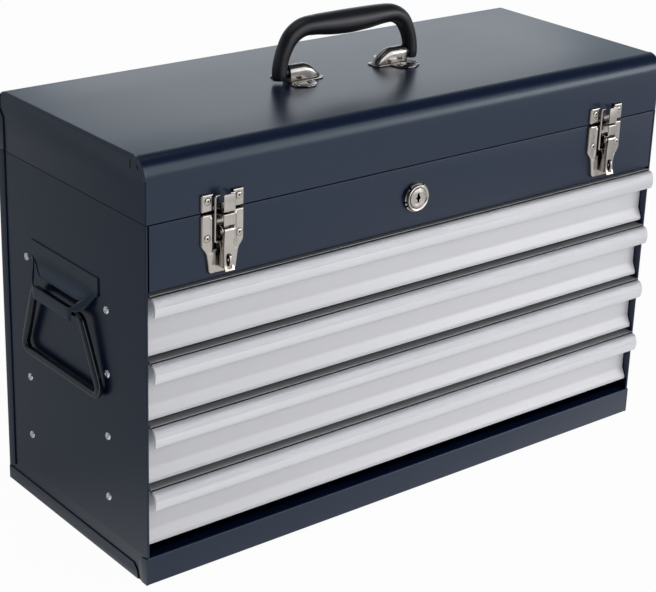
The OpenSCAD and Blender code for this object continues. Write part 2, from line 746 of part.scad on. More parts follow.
module pan(k) {
  z = drawer_z(k) - pan_bottom;
  rear = pan_front + pan_d;
  color(slate) difference() {
    union() {
      translate([-pan_half, pan_front, z]) cube([2 * pan_half, pan_d, pan_h]);
    }
    translate([-pan_half + sheet, pan_front + sheet, z + sheet])
      cube([2 * (pan_half - sheet), pan_d - 2 * sheet, pan_h - sheet - 4]);
    translate([-pan_half + 2 * sheet, pan_front + 2 * sheet, z + pan_h - 5])
      cube([2 * (pan_half - 2 * sheet), pan_d - 4 * sheet, 6]);
  }
}

// Face sheet: flat, then an S-bend to the lip at the bottom, and a return behind it
module face(k) {
  z = drawer_z(k);
  y = face_y;
  color(silver) along_x(-face_half, face_half) strip([[y, z - 2], [y, z - 38.5],
    [y - 0.5, z - 40.6], [y - 1.9, z - 43.2], [y - 3.0, z - 45], [y - 3.6, z - 46.6],
    [y - 3.7, z - face_h], [y + 2.2, z - face_h]], sheet);
}

// Aluminium pull: ledge, groove and a curved nose that leaves room for fingers behind it
module pull(k) {
  z = drawer_z(k);
  f = front_y;
  color(silver) along_x(-face_half, face_half) difference() {
    polygon([[face_y + 2.2, z], [f - 1.2, z - 0.5], [f - 2.9, z - 0.7], [f - 4.4, z - 1.5],
      [f - 5.8, z - 2.9], [f - 6.9, z - 5], [f - 7.5, z - 7.4], [f - 7.7, z - 10],
      [f - 7.4, z - 12.8], [f - 6.6, z - 15.4], [f - 5.9, z - 16.6], [f - 5.0, z - 16.2],
      [f - 5.6, z - 14.4], [f - 6.1, z - 12.4], [f - 6.3, z - 10], [f - 6.1, z - 8],
      [f - 5.5, z - 6], [f - 4.6, z - 4.4], [f - 3.2, z - 3], [f - 1.6, z - 2.3],
      [face_y, z - 2], [face_y + sheet, z - 2], [face_y + sheet, z - 9], [face_y + 2.2, z - 9]]);
    translate([f - 2.6, z - 1.3]) square([0.9, 2]);
  }
}

module slide(k) {
  z = drawer_z(k) - runner_drop;
  tip = ball_x + 1.8;
  color(zinc) for (s = [-1, 1]) on_side(s) along_y(runner_y0 + 1, runner_y1 - 6) difference() {
    polygon([[pan_half, z - 7], [tip, z - 7], [tip, z - 5.8], [inner_web, z - 5.8],
      [inner_web, z + 5.8], [tip, z + 5.8], [tip, z + 7], [pan_half, z + 7]]);
    for (t = [-1, 1]) translate([ball_x, z + t * ball_dz]) circle(groove_r);
  }
}

module cage(k) {
  z = drawer_z(k) - runner_drop;
  web = side_in - 1.7;
  color(zinc) for (s = [-1, 1]) on_side(s) {
    along_y(cage_y0, cage_y0 + cage_len) strip([[ball_x - 2.2, z + ball_dz + 0.3],
      [web, z + ball_dz + 0.3], [web, z - ball_dz - 0.3], [ball_x - 2.2, z - ball_dz - 0.3]], -0.6);
    for (t = [-1, 1], i = [0:balls_per_row - 1])
      translate([ball_x, cage_y0 + 8 + i * (cage_len - 16) / (balls_per_row - 1), z + t * ball_dz])
        sphere(ball_r, $fn = 24);
  }
}

// ---- assembly ------------------------------------------------------------

side_panel(-1);  // side_left
side_panel(1);  // side_right
back_panel();
base_pan();
lock_panel();
tray_floor();
outer_runners();
runner_rivets();
hinge_body_leaf();
hinge_pin();
hinge_lid_leaf();
lid_shell();
lid_catch();
latch_base(-1);  // latch_base_left
latch_base(1);  // latch_base_right
latch_pins();
latch_rivets();
keeper(-1);  // keeper_left
keeper(1);  // keeper_right
keeper_rivets();
lever(-1);  // lever_left
lever(1);  // lever_right
wire_loop(-1);  // wire_loop_left
wire_loop(1);  // wire_loop_right
lock_housing();
lock_nut();
lock_plug();
lock_cam();
cam_screw();
grip();
saddle(-1);  // saddle_left
saddle(1);  // saddle_right
saddle_rivets();
bail_bracket(-1);  // bail_bracket_left
bail_bracket(1);  // bail_bracket_right
bail(-1);  // bail_left
bail(1);  // bail_right
for (k = [1:drawer_n]) {
  pan(k);
  face(k);
  pull(k);
  slide(k);
  cage(k);
}
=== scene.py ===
import math
import bmesh
import bpy
import numpy as np
from mathutils import Matrix, Vector


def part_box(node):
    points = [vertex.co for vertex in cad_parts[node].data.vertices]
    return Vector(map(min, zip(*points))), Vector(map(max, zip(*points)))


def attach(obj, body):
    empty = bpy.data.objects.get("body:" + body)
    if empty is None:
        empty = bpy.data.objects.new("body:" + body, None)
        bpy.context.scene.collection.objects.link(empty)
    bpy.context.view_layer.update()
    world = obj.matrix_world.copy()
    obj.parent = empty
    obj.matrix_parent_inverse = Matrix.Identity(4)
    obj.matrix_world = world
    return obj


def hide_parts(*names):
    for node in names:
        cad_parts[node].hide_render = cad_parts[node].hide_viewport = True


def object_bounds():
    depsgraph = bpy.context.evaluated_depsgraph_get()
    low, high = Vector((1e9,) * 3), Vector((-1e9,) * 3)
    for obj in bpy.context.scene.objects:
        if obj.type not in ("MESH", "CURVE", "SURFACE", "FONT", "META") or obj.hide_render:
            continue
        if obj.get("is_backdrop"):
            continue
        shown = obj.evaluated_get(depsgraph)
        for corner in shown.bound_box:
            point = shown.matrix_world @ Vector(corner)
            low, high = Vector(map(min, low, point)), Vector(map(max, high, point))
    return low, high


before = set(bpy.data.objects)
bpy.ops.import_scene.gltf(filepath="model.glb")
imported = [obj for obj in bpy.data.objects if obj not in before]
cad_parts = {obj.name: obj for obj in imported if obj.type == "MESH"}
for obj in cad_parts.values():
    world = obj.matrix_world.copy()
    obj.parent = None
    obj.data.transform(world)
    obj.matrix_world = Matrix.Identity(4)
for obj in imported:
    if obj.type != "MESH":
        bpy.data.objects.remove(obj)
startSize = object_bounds()
scene = bpy.context.scene
mm = 0.001                            # everything below is drawn in millimetres
print("stage: frame loaded")

cameraSet = {"spot": (-912.5, -1115.9, 743.5), "azimuth": -38.911, "elevation": 21.952, "roll": 1.929,
             "focalPixels": 1811.7, "imageWidth": 656.0, "shiftPixels": -23.0, "sensor": 36.0, "near": 0.05,
             "far": 60.0}


def makeCamera(c):
    az, el, roll = (math.radians(c[k]) for k in ("azimuth", "elevation", "roll"))
    back = Vector((math.sin(az) * math.cos(el), -math.cos(az) * math.cos(el), math.sin(el)))
    right = Vector((0, 0, 1)).cross(back).normalized()
    up = back.cross(right)
    right, up = math.cos(roll) * right + math.sin(roll) * up, -math.sin(roll) * right + math.cos(roll) * up
    data = bpy.data.cameras.new("camera")
    data.sensor_width = c["sensor"]
    data.lens = c["focalPixels"] * c["sensor"] / c["imageWidth"]
    data.shift_y = c["shiftPixels"] / c["imageWidth"]
    data.clip_start, data.clip_end = c["near"], c["far"]
    item = bpy.data.objects.new("camera", data)
    turn = Matrix((right, up, back)).transposed().to_4x4()
    item.matrix_world = Matrix.Translation(Vector(c["spot"]) * mm) @ turn
    scene.collection.objects.link(item)
    return item


scene.camera = makeCamera(cameraSet)
scene.view_settings.view_transform = "Standard"
print("stage: camera")

looks = {
    "powder": {"colour": (0.0026, 0.0078, 0.0300), "colour2": (0.0034, 0.0094, 0.0350), "metal": 0.0,
               "rough": 0.29, "roughSpread": 0.02, "grain": 1500.0, "cloud": 5.0, "bump": 0.10, "depth": 0.00010,
               "ior": 1.52, "specularTint": (0.80, 0.93, 1.0)},
    "powderInside": {"colour": (0.0060, 0.0075, 0.0130), "colour2": (0.0075, 0.0090, 0.0155), "metal": 0.0,
                     "rough": 0.4, "grain": 1500.0, "bump": 0.14, "depth": 0.00010},
    "silver": {"colour": (0.660, 0.652, 0.675), "colour2": (0.700, 0.692, 0.715), "metal": 0.15,
               "rough": 0.45, "grain": 3200.0, "cloud": 4.0, "bump": 0.06, "depth": 0.00008},
    "aluminium": {"colour": (0.700, 0.702, 0.725), "colour2": (0.780, 0.782, 0.805), "metal": 0.70,
                  "rough": 0.36, "roughSpread": 0.05, "grain": 900.0, "stretch": (0.02, 1, 1), "bump": 0.12,
                  "depth": 0.00006},
    # nickel and saddle darken their corners with a painted shade colour
    "nickel": {"colour": (0.420, 0.385, 0.355), "colour2": (0.560, 0.525, 0.490), "metal": 1.0,
               "rough": 0.18, "roughSpread": 0.05, "grain": 1200.0, "cloud": 60.0, "bump": 0.10, "depth": 0.00006,
               "cornerShade": (0.030, 0.024, 0.020)},
    # painted shade: the saddles use a darker copy of the nickel
    "saddle": {"colour": (0.300, 0.280, 0.265), "colour2": (0.400, 0.375, 0.355), "metal": 1.0,
               "rough": 0.18, "roughSpread": 0.05, "grain": 1200.0, "cloud": 60.0, "bump": 0.10, "depth": 0.00006,
               "cornerShade": (0.030, 0.024, 0.020)},
    "zinc": {"colour": (0.420, 0.430, 0.440), "colour2": (0.560, 0.570, 0.580), "metal": 0.9,
             "rough": 0.38, "roughSpread": 0.08, "grain": 700.0, "cloud": 40.0, "bump": 0.1, "depth": 0.00008},
    "rivet": {"colour": (0.720, 0.730, 0.750), "colour2": (0.860, 0.870, 0.890), "metal": 1.0,
              "rough": 0.2, "grain": 900.0, "cloud": 80.0, "bump": 0.1, "depth": 0.00006},
    "plastic": {"colour": (0.0040, 0.0042, 0.0060), "colour2": (0.0060, 0.0064, 0.0090), "metal": 0.0,
                "rough": 0.20, "roughSpread": 0.03, "grain": 1300.0, "bump": 0.1, "depth": 0.00008,
                "ior": 1.6, "specularTint": (0.80, 0.90, 1.0)},
    "grip": {"colour": (0.0060, 0.0058, 0.0070), "colour2": (0.0085, 0.0080, 0.0095), "metal": 0.0,
             "rough": 0.37, "grain": 950.0, "bump": 0.45, "depth": 0.00015, "specularTint": (0.92, 0.92, 1.0)},
    "black": {"colour": (0.0030, 0.0030, 0.0040), "colour2": (0.0050, 0.0050, 0.0060), "metal": 0.0,
              "rough": 0.6, "grain": 900.0, "bump": 0.05, "depth": 0.0001},
}
usual = {"ior": 1.5, "specularTint": (1, 1, 1), "roughSpread": 0.04, "cloud": 9.0, "stretch": (1, 1, 1)}
# painted shade: how far into the corners the darkening is looked for, and where it fades
shadeReach, shadeFade = 0.004, (0.30, 0.95)


def addNode(tree, kind, **inputs):
    made = tree.nodes.new(kind)
    for key, value in inputs.items():
        made.inputs[key.replace("_", " ")].default_value = value
    return made


def addRange(tree, low, high, fromLow=0.0, fromHigh=1.0):
    return addNode(tree, "ShaderNodeMapRange", From_Min=fromLow, From_Max=fromHigh, To_Min=low, To_Max=high)


def makeMaterial(name, given):        # a painted, plated or moulded surface with its own grain and cloudiness
    look = {**usual, **given}
    m = bpy.data.materials.new(name)
    m.use_nodes = True
    tree = m.node_tree
    link = tree.links.new
    shader = tree.nodes["Principled BSDF"]
    shader.inputs["Metallic"].default_value = look["metal"]
    shader.inputs["IOR"].default_value = look["ior"]
    shader.inputs["Specular Tint"].default_value = (*look["specularTint"], 1)
    coords = addNode(tree, "ShaderNodeTexCoord")
    stretch = addNode(tree, "ShaderNodeMapping", Scale=look["stretch"])
    grain = addNode(tree, "ShaderNodeTexNoise", Scale=look["grain"], Detail=3.0)
    cloud = addNode(tree, "ShaderNodeTexNoise", Scale=look["cloud"], Detail=4.0, Roughness=0.6)
    link(coords.outputs["Object"], stretch.inputs["Vector"])
    link(stretch.outputs[0], grain.inputs["Vector"])
    link(coords.outputs["Object"], cloud.inputs["Vector"])
    tone = addRange(tree, look["rough"] - look["roughSpread"], look["rough"] + look["roughSpread"])
    link(cloud.outputs["Fac"], tone.inputs["Value"])
    link(tone.outputs[0], shader.inputs["Roughness"])
    blend = addNode(tree, "ShaderNodeMix", Factor=0.5)
    link(cloud.outputs["Fac"], blend.inputs[2])
    link(grain.outputs["Fac"], blend.inputs[3])
    ramp = addNode(tree, "ShaderNodeValToRGB")
    for stop, spot, key in zip(ramp.color_ramp.elements, (0.3, 0.7), ("colour", "colour2")):
        stop.position, stop.color = spot, (*look[key], 1)
    link(blend.outputs[0], ramp.inputs["Fac"])
    colour = ramp.outputs["Color"]
    if "cornerShade" in look:             # painted shade: darkens the colour in corners and crevices
        hollow = addNode(tree, "ShaderNodeAmbientOcclusion", Distance=shadeReach)
        depth = addRange(tree, 0.0, 1.0, *shadeFade)
        shadeMix = addNode(tree, "ShaderNodeMix")
        shadeMix.data_type = "RGBA"
        shadeMix.inputs[6].default_value = (*look["cornerShade"], 1)
        link(hollow.outputs["AO"], depth.inputs["Value"])
        link(depth.outputs[0], shadeMix.inputs["Factor"])
        link(colour, shadeMix.inputs[7])
        colour = shadeMix.outputs[2]
    link(colour, shader.inputs["Base Color"])
    bump = addNode(tree, "ShaderNodeBump", Strength=look["bump"], Distance=look["depth"])
    link(grain.outputs["Fac"], bump.inputs["Height"])
    link(bump.outputs["Normal"], shader.inputs["Normal"])
    return m


materials = {name: makeMaterial(name, look) for name, look in looks.items()}
print("stage: materials")


def editMesh(mesh, *steps):
    bm = bmesh.new()
    bm.from_mesh(mesh)
    for step in steps:
        step(bm)
    bm.to_mesh(mesh)
    bm.free()


def faceOut(bm):
    bmesh.ops.recalc_face_normals(bm, faces=bm.faces)


def weld(gap):
    return lambda bm: bmesh.ops.remove_doubles(bm, verts=bm.verts, dist=gap)


def roundEdges(width, segments, limit):          # bevels the edges that turn by more than the limit
    def step(bm):
        edges = [e for e in bm.edges if len(e.link_faces) == 2 and e.calc_face_angle(0.0) > math.radians(limit)]
        bmesh.ops.bevel(bm, geom=edges, offset=width * mm, segments=segments, profile=0.6, affect="EDGES",
                        clamp_overlap=True)
    return step


def shade(item, sharp):
    item.data.shade_smooth()
    item.data.set_sharp_from_angle(angle=math.radians(sharp))
    return item


def finishMesh(item, sharp=32.0, bevel=0.0, segments=2, limit=40.0):
    if bevel:
        editMesh(item.data, weld(1e-6), roundEdges(bevel, segments, limit), faceOut)
    else:
        editMesh(item.data, faceOut)
    return shade(item, sharp)


def place(item, look, body, nodes=()):           # material, slot, body and the nodes a piece stands for
    item.data.materials.clear()
    item.data.materials.append(materials[look])
    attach(item, body)
    if nodes:
        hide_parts(*nodes)
    return item


def addItem(name, data):
    item = bpy.data.objects.new(name, data)
    scene.collection.objects.link(item)
    return item


def newItem(name, verts, faces):
    mesh = bpy.data.meshes.new(name)
    mesh.from_pydata([(v[0] * mm, v[1] * mm, v[2] * mm) for v in verts], [], faces)
    return addItem(name, mesh)


def extruded(name, outline, lo, hi, axis):       # outline in Y, Z along x; in X, Z along y; in X, Y along z
    put = {"x": lambda a, b, t: (t, a, b), "y": lambda a, b, t: (a, t, b), "z": lambda a, b, t: (a, b, t)}[axis]
    n = len(outline)
    verts = [put(a, b, lo) for a, b in outline] + [put(a, b, hi) for a, b in outline]
    faces = [(i, (i + 1) % n, n + (i + 1) % n, n + i) for i in range(n)]
    faces += [tuple(range(n))[::-1], tuple(range(n, 2 * n))]
    return newItem(name, verts, faces)


def fillet(path, radii, steps=5, closed=False):  # rounded corners; radii is one number or one a corner
    n = len(path)
    pts = [Vector(p) for p in path]
    out = []
    for i, p in enumerate(pts):
        r = radii[i] if isinstance(radii, (list, tuple)) else radii
        a, b = (pts[i - 1] - p), (pts[(i + 1) % n] - p)
        reach = min(a.length, b.length) * 0.48
        a, b = a.normalized(), b.normalized()
        end = not closed and i in (0, n - 1)
        half = 0.0 if end or r <= 0 else a.angle(b) / 2
        if end or r <= 0 or half > math.radians(89):       # an end, a sharp corner or a straight run
            out.append(tuple(p))
            continue
        cut = min(r / math.tan(half), reach)
        fit = cut * math.tan(half)
        centre = p + (a + b).normalized() * (fit / math.sin(half))
        first, last = p + a * cut - centre, p + b * cut - centre
        out += [tuple(centre + first.lerp(last, k / steps).normalized() * fit) for k in range(steps + 1)]
    return out


def offsetPath(path, t):
    pts = [Vector(p) for p in path]
    out = []
    for i, p in enumerate(pts):
        a = (p - pts[i - 1]).normalized() if i else (pts[1] - p).normalized()
        b = (pts[i + 1] - p).normalized() if i < len(pts) - 1 else a
        na, nb = Vector((-a.y, a.x)), Vector((-b.y, b.x))
        n = (na + nb).normalized()
        out.append(tuple(p + n * (t / max(0.2, n.dot(na)))))
    return out


def sheetOutline(path, t, radii=1.0, steps=5):   # bent sheet with one face on the path and t to its left
    line = fillet(path, radii, steps)
    return list(line) + list(reversed(offsetPath(line, t)))


def smoothCurve(pts, steps):          # runs through the points, of any number of dimensions
    q = [Vector(p) for p in pts]
    q = [2 * q[0] - q[1]] + q + [2 * q[-1] - q[-2]]
    out = []
    for i in range(1, len(q) - 2):
        a, b, c, d = q[i - 1:i + 3]
        for k in range(steps):
            t = k / steps
            spot = 2 * b + (c - a) * t + (2 * a - 5 * b + 4 * c - d) * t * t + (3 * b - a - 3 * c + d) * t ** 3
            out.append(tuple(0.5 * spot))
    return out + [tuple(q[-2])]


def circle(cx, cy, r, n=32, start=0.0, span=360.0):
    angles = [math.radians(start + span * i / n) for i in range(n)]
    return [(cx + r * math.cos(a), cy + r * math.sin(a)) for a in angles]


def drawCurve(data, line, closed=False):
    spline = data.splines.new("POLY")
    spline.points.add(len(line) - 1)
    for point, spot in zip(spline.points, line):
        point.co = (*spot, 1) if len(spot) == 3 else (*spot, 0, 1)
    spline.use_cyclic_u = closed


def curveMesh(name, data):            # the curve's body as a mesh, in the curve's own units
    helper = addItem(name + "Curve", data)
    mesh = bpy.data.meshes.new_from_object(helper.evaluated_get(bpy.context.evaluated_depsgraph_get()))
    bpy.data.objects.remove(helper)
    bpy.data.curves.remove(data)
    mesh.name = name
    return mesh


def plate(name, outline, holes, thickness, matrix, rim=0.15):      # flat stamping with rounded rims, thick up its Z
    data = bpy.data.curves.new(name, "CURVE")
    data.dimensions = "2D"
    data.fill_mode = "BOTH"
    for line in [outline] + list(holes):
        drawCurve(data, line, True)
    data.extrude = thickness / 2 - rim
    data.bevel_depth = rim
    data.bevel_resolution = 1
    data.offset = -rim
    mesh = curveMesh(name, data)
    mesh.transform(Matrix.Translation((0, 0, thickness / 2)))
    mesh.transform(matrix)
    mesh.transform(Matrix.Scale(mm, 4))
    editMesh(mesh, weld(2e-6), faceOut)
    return shade(addItem(name, mesh), 32)


def makeWire(name, points, r):
    data = bpy.data.curves.new(name, "CURVE")
    data.dimensions = "3D"
    drawCurve(data, points)
    data.bevel_depth = r
    data.bevel_resolution = 4
    data.use_fill_caps = True
    mesh = curveMesh(name, data)
    mesh.transform(Matrix.Scale(mm, 4))
    return shade(addItem(name, mesh), 50)


def loft(name, rings, closed=False):
    n, m = len(rings[0]), len(rings)
    faces = []
    for j in range(m if closed else m - 1):
        k = (j + 1) % m
        faces += [(j * n + i, j * n + (i + 1) % n, k * n + (i + 1) % n, k * n + i) for i in range(n)]
    if not closed:
        faces += [tuple(range(n))[::-1], tuple(range((m - 1) * n, m * n))]
    return newItem(name, [p for ring in rings for p in ring], faces)


def lathe(name, profile, matrix, n=48):          # turned piece: profile of (radius, height) about its own Z
    angles = [2 * math.pi * i / n for i in range(n)]
    rings = [[tuple(matrix @ Vector((r * math.cos(a), r * math.sin(a), h))) for a in angles] for r, h in profile]
    item = loft(name, rings)
    editMesh(item.data, weld(1e-6))
    return item


def join(name, items):
    base = items[0]
    bm = bmesh.new()
    for item in items:
        bm.from_mesh(item.data)
    bm.to_mesh(base.data)
    bm.free()
    for item in items[1:]:
        data = item.data
        bpy.data.objects.remove(item)
        bpy.data.meshes.remove(data)
    base.name = name
    return base


def smoothJoin(name, items, look, body, nodes, sharp=38):
    return place(shade(join(name, items), sharp), look, body, nodes)


def carve(item, tools):
    for tool in tools:
        finishMesh(tool)
        cut = item.modifiers.new("cut", "BOOLEAN")
        cut.operation = "DIFFERENCE"
        cut.solver = "EXACT"
        cut.object = tool
    old, item.data = item.data, bpy.data.meshes.new_from_object(
        item.evaluated_get(bpy.context.evaluated_depsgraph_get()))
    item.modifiers.clear()
    bpy.data.meshes.remove(old)
    for tool in tools:
        bpy.data.objects.remove(tool)
    return item


def turned(spot, degrees, axis):
    return Matrix.Translation(spot) @ Matrix.Rotation(math.radians(degrees), 4, axis)


def toFront(x, z, d=0.0):             # own Z forward from the cabinet's front, own Y up
    return turned((x, frontY - d, z), 90, "X")


def toSide(s, y, z):                  # own Z out of a side panel, own Y up
    return Matrix.Translation((s * sideX, y, z)) @ Matrix(((0, 0, s, 0), (s, 0, 0, 0), (0, 1, 0, 0), (0, 0, 0, 1)))


def fromFront(points, top=0.0):       # (out from the front, up) drawings to (Y, Z)
    return [(frontY - out, top + up) for out, up in points]


def boxOf(name):
    lo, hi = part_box(name)
    return [v / mm for v in lo], [v / mm for v in hi]


def easeStep(t):
    t = min(1.0, max(0.0, t))
    return t * t * (3 - 2 * t)


lidLo, lidHi = boxOf("lid_shell")
sideLo, sideHi = boxOf("side_right")
frontY, backY, lidLow, lidTop, halfW = lidLo[1], lidHi[1], lidLo[2], lidHi[2], lidHi[0]
sideIn, sideX, bodyTop = sideLo[0], sideHi[0], sideHi[2]
seamZ = (lidLow + bodyTop) / 2
print("stage: sizes", [round(v, 1) for v in (frontY, backY, lidLow, lidTop, halfW, sideX, bodyTop)])


cabinet = {"sheet": 1.0, "hem": 8.0, "hemGap": 0.06, "gap": 0.4, "plinth": 23.6, "plinthBend": 1.2, "nose": 1.4,
           "wrap": 11.0, "wrapRounds": [0, 2.2, 3.0, 1.0, 1.5, 0], "flange": 12.0,
           "flangeRounds": [0.5, 0.5, 0.5, 3.0, 4.0], "backFlange": 10.5, "backBend": 1.6, "mitre": 0.55}
lockPanel = {"lip": 11.0, "seamStep": 2.3, "seamDrop": 0.5, "bends": [0, 0.7, 0.35, 0.6, 0], "sideGap": 0.9,
             "tabDepth": 8.3, "tabEnd": 26.0, "hole": 9.0}
panelLo, panelHi = boxOf("lock_panel")
lockCentre = [sum(v[i] for v in boxOf("lock_housing")) / 2 for i in (0, 2)]


def makeSide(s, c):                   # outer sheet with its front edge folded back on itself as a hem
    t, x, y0, y1, z0 = c["sheet"], sideX, frontY, backY - c["sheet"], c["plinth"] + c["gap"]
    inner = x - t - c["hemGap"]
    line = [(x, y1)] + circle(x - t, y0 + t, t, 10, 0, -180)
    line += [(x - 2 * t, y0 + t), (x - 2 * t, y0 + c["hem"]), (inner, y0 + c["hem"]), (inner, y0 + 1.5 * t),
             (x - t, y1)]
    upper = extruded("upper", [(s * a, b) for a, b in line], z0, bodyTop, "z")
    lower = extruded("lower", [(y0 + t, t), (y1, t), (y1, z0), (y0 + t, z0)], s * (x - t), s * x, "x")
    side = "Right" if s > 0 else "Left"
    item = finishMesh(join("sidePanel" + side, [upper, lower]), 25)
    return place(item, "powder", "cabinet", ["side_" + side.lower()])


def makeBack(c):
    y, bend = backY - c["backFlange"], backY - 3
    outline = sheetOutline([(halfW, y), (halfW, backY), (-halfW, backY), (-halfW, y)], c["sheet"], c["backBend"])
    item = extruded("backPanel", outline, c["flange"] + 0.3, bodyTop, "z")
    for v in item.data.vertices:      # lower ends of the flanges are mitred
        if v.co.z < 0.1 and v.co.y < bend * mm:
            v.co.z += (bend - v.co.y / mm) * c["mitre"] * mm
    return place(finishMesh(item, 25, bevel=0.18), "powder", "cabinet", ["back_panel"])


def makeBase(c):                      # plinth, floor and rear edge, with the plinth wrapped round both corners
    t, h, f, w, r = c["sheet"], c["plinth"], c["flange"], c["wrap"], c["nose"]
    depth, inner = backY - frontY, halfW - c["nose"]
    plinth = sheetOutline([(frontY + 10, h), (frontY, h), (frontY, 0), (frontY + 4, 0)], t, c["plinthBend"])
    floor = [(frontY + 3.9, 0), (backY - t, 0), (backY - t, t), (frontY + 3.9, t)]
    rear = sheetOutline([(backY - 3, 0), (backY, 0), (backY, f)], t, 1.0)
    parts = [finishMesh(extruded("sheet", outline, -half, half, "x"), 25, bevel=bevel)
             for outline, half, bevel in ((plinth, sideX - 0.4, 0.12), (floor, sideX - 0.2, 0), (rear, sideX, 0.12))]
    wrap = fillet([(0, 0.3), (w - 3.0, 0.3), (w - 0.6, 6.0), (w, h - 4.6), (w - 3.6, h - 1.6), (0, h - 0.2)],
                  c["wrapRounds"], 4)
    flange = fillet([(w + 1.2, 0.3), (depth - 0.2, 0.3), (depth - 0.2, f), (w + 8.0, f), (w + 3.2, f - 4.4)],
                    c["flangeRounds"], 4, closed=True)
    nose = [(inner, frontY)] + [(inner + r * math.sin(a), frontY + r - r * math.cos(a))
                                for a in (0.3, 0.6, 0.9, 1.2, math.pi / 2)]
    nose += [(halfW - 1, frontY + 1.6), (halfW - 1.6, frontY + 1)]
    for s in (-1, 1):
        for line, x in ((wrap, sideX - 0.4), (flange, sideX - 0.3)):
            item = extruded("wrap", [(frontY + u, v) for u, v in line], s * x, s * halfW, "x")
            parts.append(finishMesh(item, 25, bevel=0.3))
        parts.append(finishMesh(extruded("nose", [(s * a, b) for a, b in nose], 0.4, h - 0.5, "z"), 40))
    return smoothJoin("basePan", parts, "powder", "cabinet", ["base_pan"], 25)


def makeLockPanel(c, t):              # bent panel with a tab behind each hem and the lock's hole
    z0, z1, y = panelLo[2], bodyTop - c["seamDrop"], frontY + c["seamStep"]
    half = sideIn - c["sideGap"]
    outline = sheetOutline([(frontY + c["lip"], z0), (frontY, z0), (frontY, z1), (y, z1), (y, panelHi[2])], -t,
                           c["bends"], 4)
    parts = [finishMesh(extruded("panel", outline, -half, half, "x"), 25, bevel=0.12)]
    y = frontY + c["tabDepth"]
    for s in (-1, 1):
        path = [(half, frontY + 1), (half, y), (sideX - 1, y), (sideX - 1, frontY + c["tabEnd"])]
        line = sheetOutline([(s * a, b) for a, b in path], s * t, 0.6, 3)
        parts.append(finishMesh(extruded("tab", line, z0 + 1, bodyTop - 1, "z"), 25))
    item = carve(join("lockPanel", parts), [lathe("hole", [(c["hole"], -4), (c["hole"], 4)], toFront(*lockCentre),
                                                  40)])
    return place(shade(item, 25), "powder", "cabinet", ["lock_panel"])


for s in (-1, 1):
    makeSide(s, cabinet)
makeBack(cabinet)
makeBase(cabinet)
makeLockPanel(lockPanel, cabinet["sheet"])
print("stage: cabinet")

lid = {"bend": 14.0, "edge": 1.3, "sheet": 1.0, "tab": 10.5, "tabTop": 14.3, "tabRounds": [0.4, 0.4, 1.0, 1.5, 2.5],
       "rim": 2.2,
       "cuts": [(frontY, 0.7, [(19, -11.5), (20.1, -11.5), (20.1, -4), (19, -4)]),      # slit, nick of the bend
                (frontY, 0.6, [(9.5, -7.5), (12.5, -6.0), (9.0, -11.0)]),
                (backY, 0.7, [(-6.8, -13.5), (-5.6, -13.5), (-5.6, -4.5), (-8.4, -2.8), (-9.0, -3.6), (-6.8, -5.4)])]}


def lidRing(inset, x, bend):          # section of the lid in Y, Z, drawn in by an inset and open at the bottom
    r = max(0.4, bend - inset)
    y0, y1, top = frontY + inset, backY - inset, lidTop - inset
    turn = np.linspace(0, math.pi / 2, 13)
    pts = [(y0, lidLow)] + [(y0, lidLow + (top - r - lidLow) * t) for t in (0.35, 0.7)]
    pts += [(y0 + r - r * math.cos(a), top - r + r * math.sin(a)) for a in turn]
    pts += [(y0 + r + (y1 - y0 - 2 * r) * t, top) for t in (0.25, 0.5, 0.75)]
    pts += [(y1 - r + r * math.sin(a), top - r + r * math.cos(a)) for a in turn]
    pts += [(y1, lidLow + (top - r - lidLow) * t) for t in (0.7, 0.35)] + [(y1, lidLow)]
    return [(x, a, b) for a, b in pts]


def lidSurface(inset, c):
    edge, half = max(0.3, c["edge"] - inset), sideX - inset
    turns = [0, 0.35, 0.7, 1.05, 1.4, math.pi / 2]
    ends = [(inset + edge * (1 - math.sin(t)), half - edge * (1 - math.cos(t))) for t in turns]
    rings = [lidRing(i, -x, c["bend"]) for i, x in ends]
    rings += [lidRing(inset, x, c["bend"]) for x in (-half * 0.6, 0, half * 0.6)]
    return rings + [lidRing(i, x, c["bend"]) for i, x in reversed(ends)]


def lidShell(c):                      # outer and inner skins, closed by a rim along the open bottom
    outer, inner = lidSurface(0.0, c), lidSurface(c["sheet"], c)
    n, m = len(outer[0]), len(outer)
    faces, off, last = [], n * m, (m - 1) * n
    for j in range(m - 1):
        for i in range(n - 1):
            a, b = j * n + i, (j + 1) * n + i
            faces += [(a, a + 1, b + 1, b), (off + b, off + b + 1, off + a + 1, off + a)]
        a, b = j * n, (j + 1) * n
        faces += [(a, b, off + b, off + a), (b + n - 1, a + n - 1, off + a + n - 1, off + b + n - 1)]
    faces += [tuple(range(n))[::-1], tuple(range(last, m * n))]                            # side walls
    faces += [tuple(range(off, off + n)), tuple(range(off + last, off + m * n))[::-1]]
    faces += [(0, off, off + n - 1, n - 1), (m * n - 1, off + m * n - 1, off + last, last)]
    return newItem("lidShell", [p for r in outer + inner for p in r], faces)


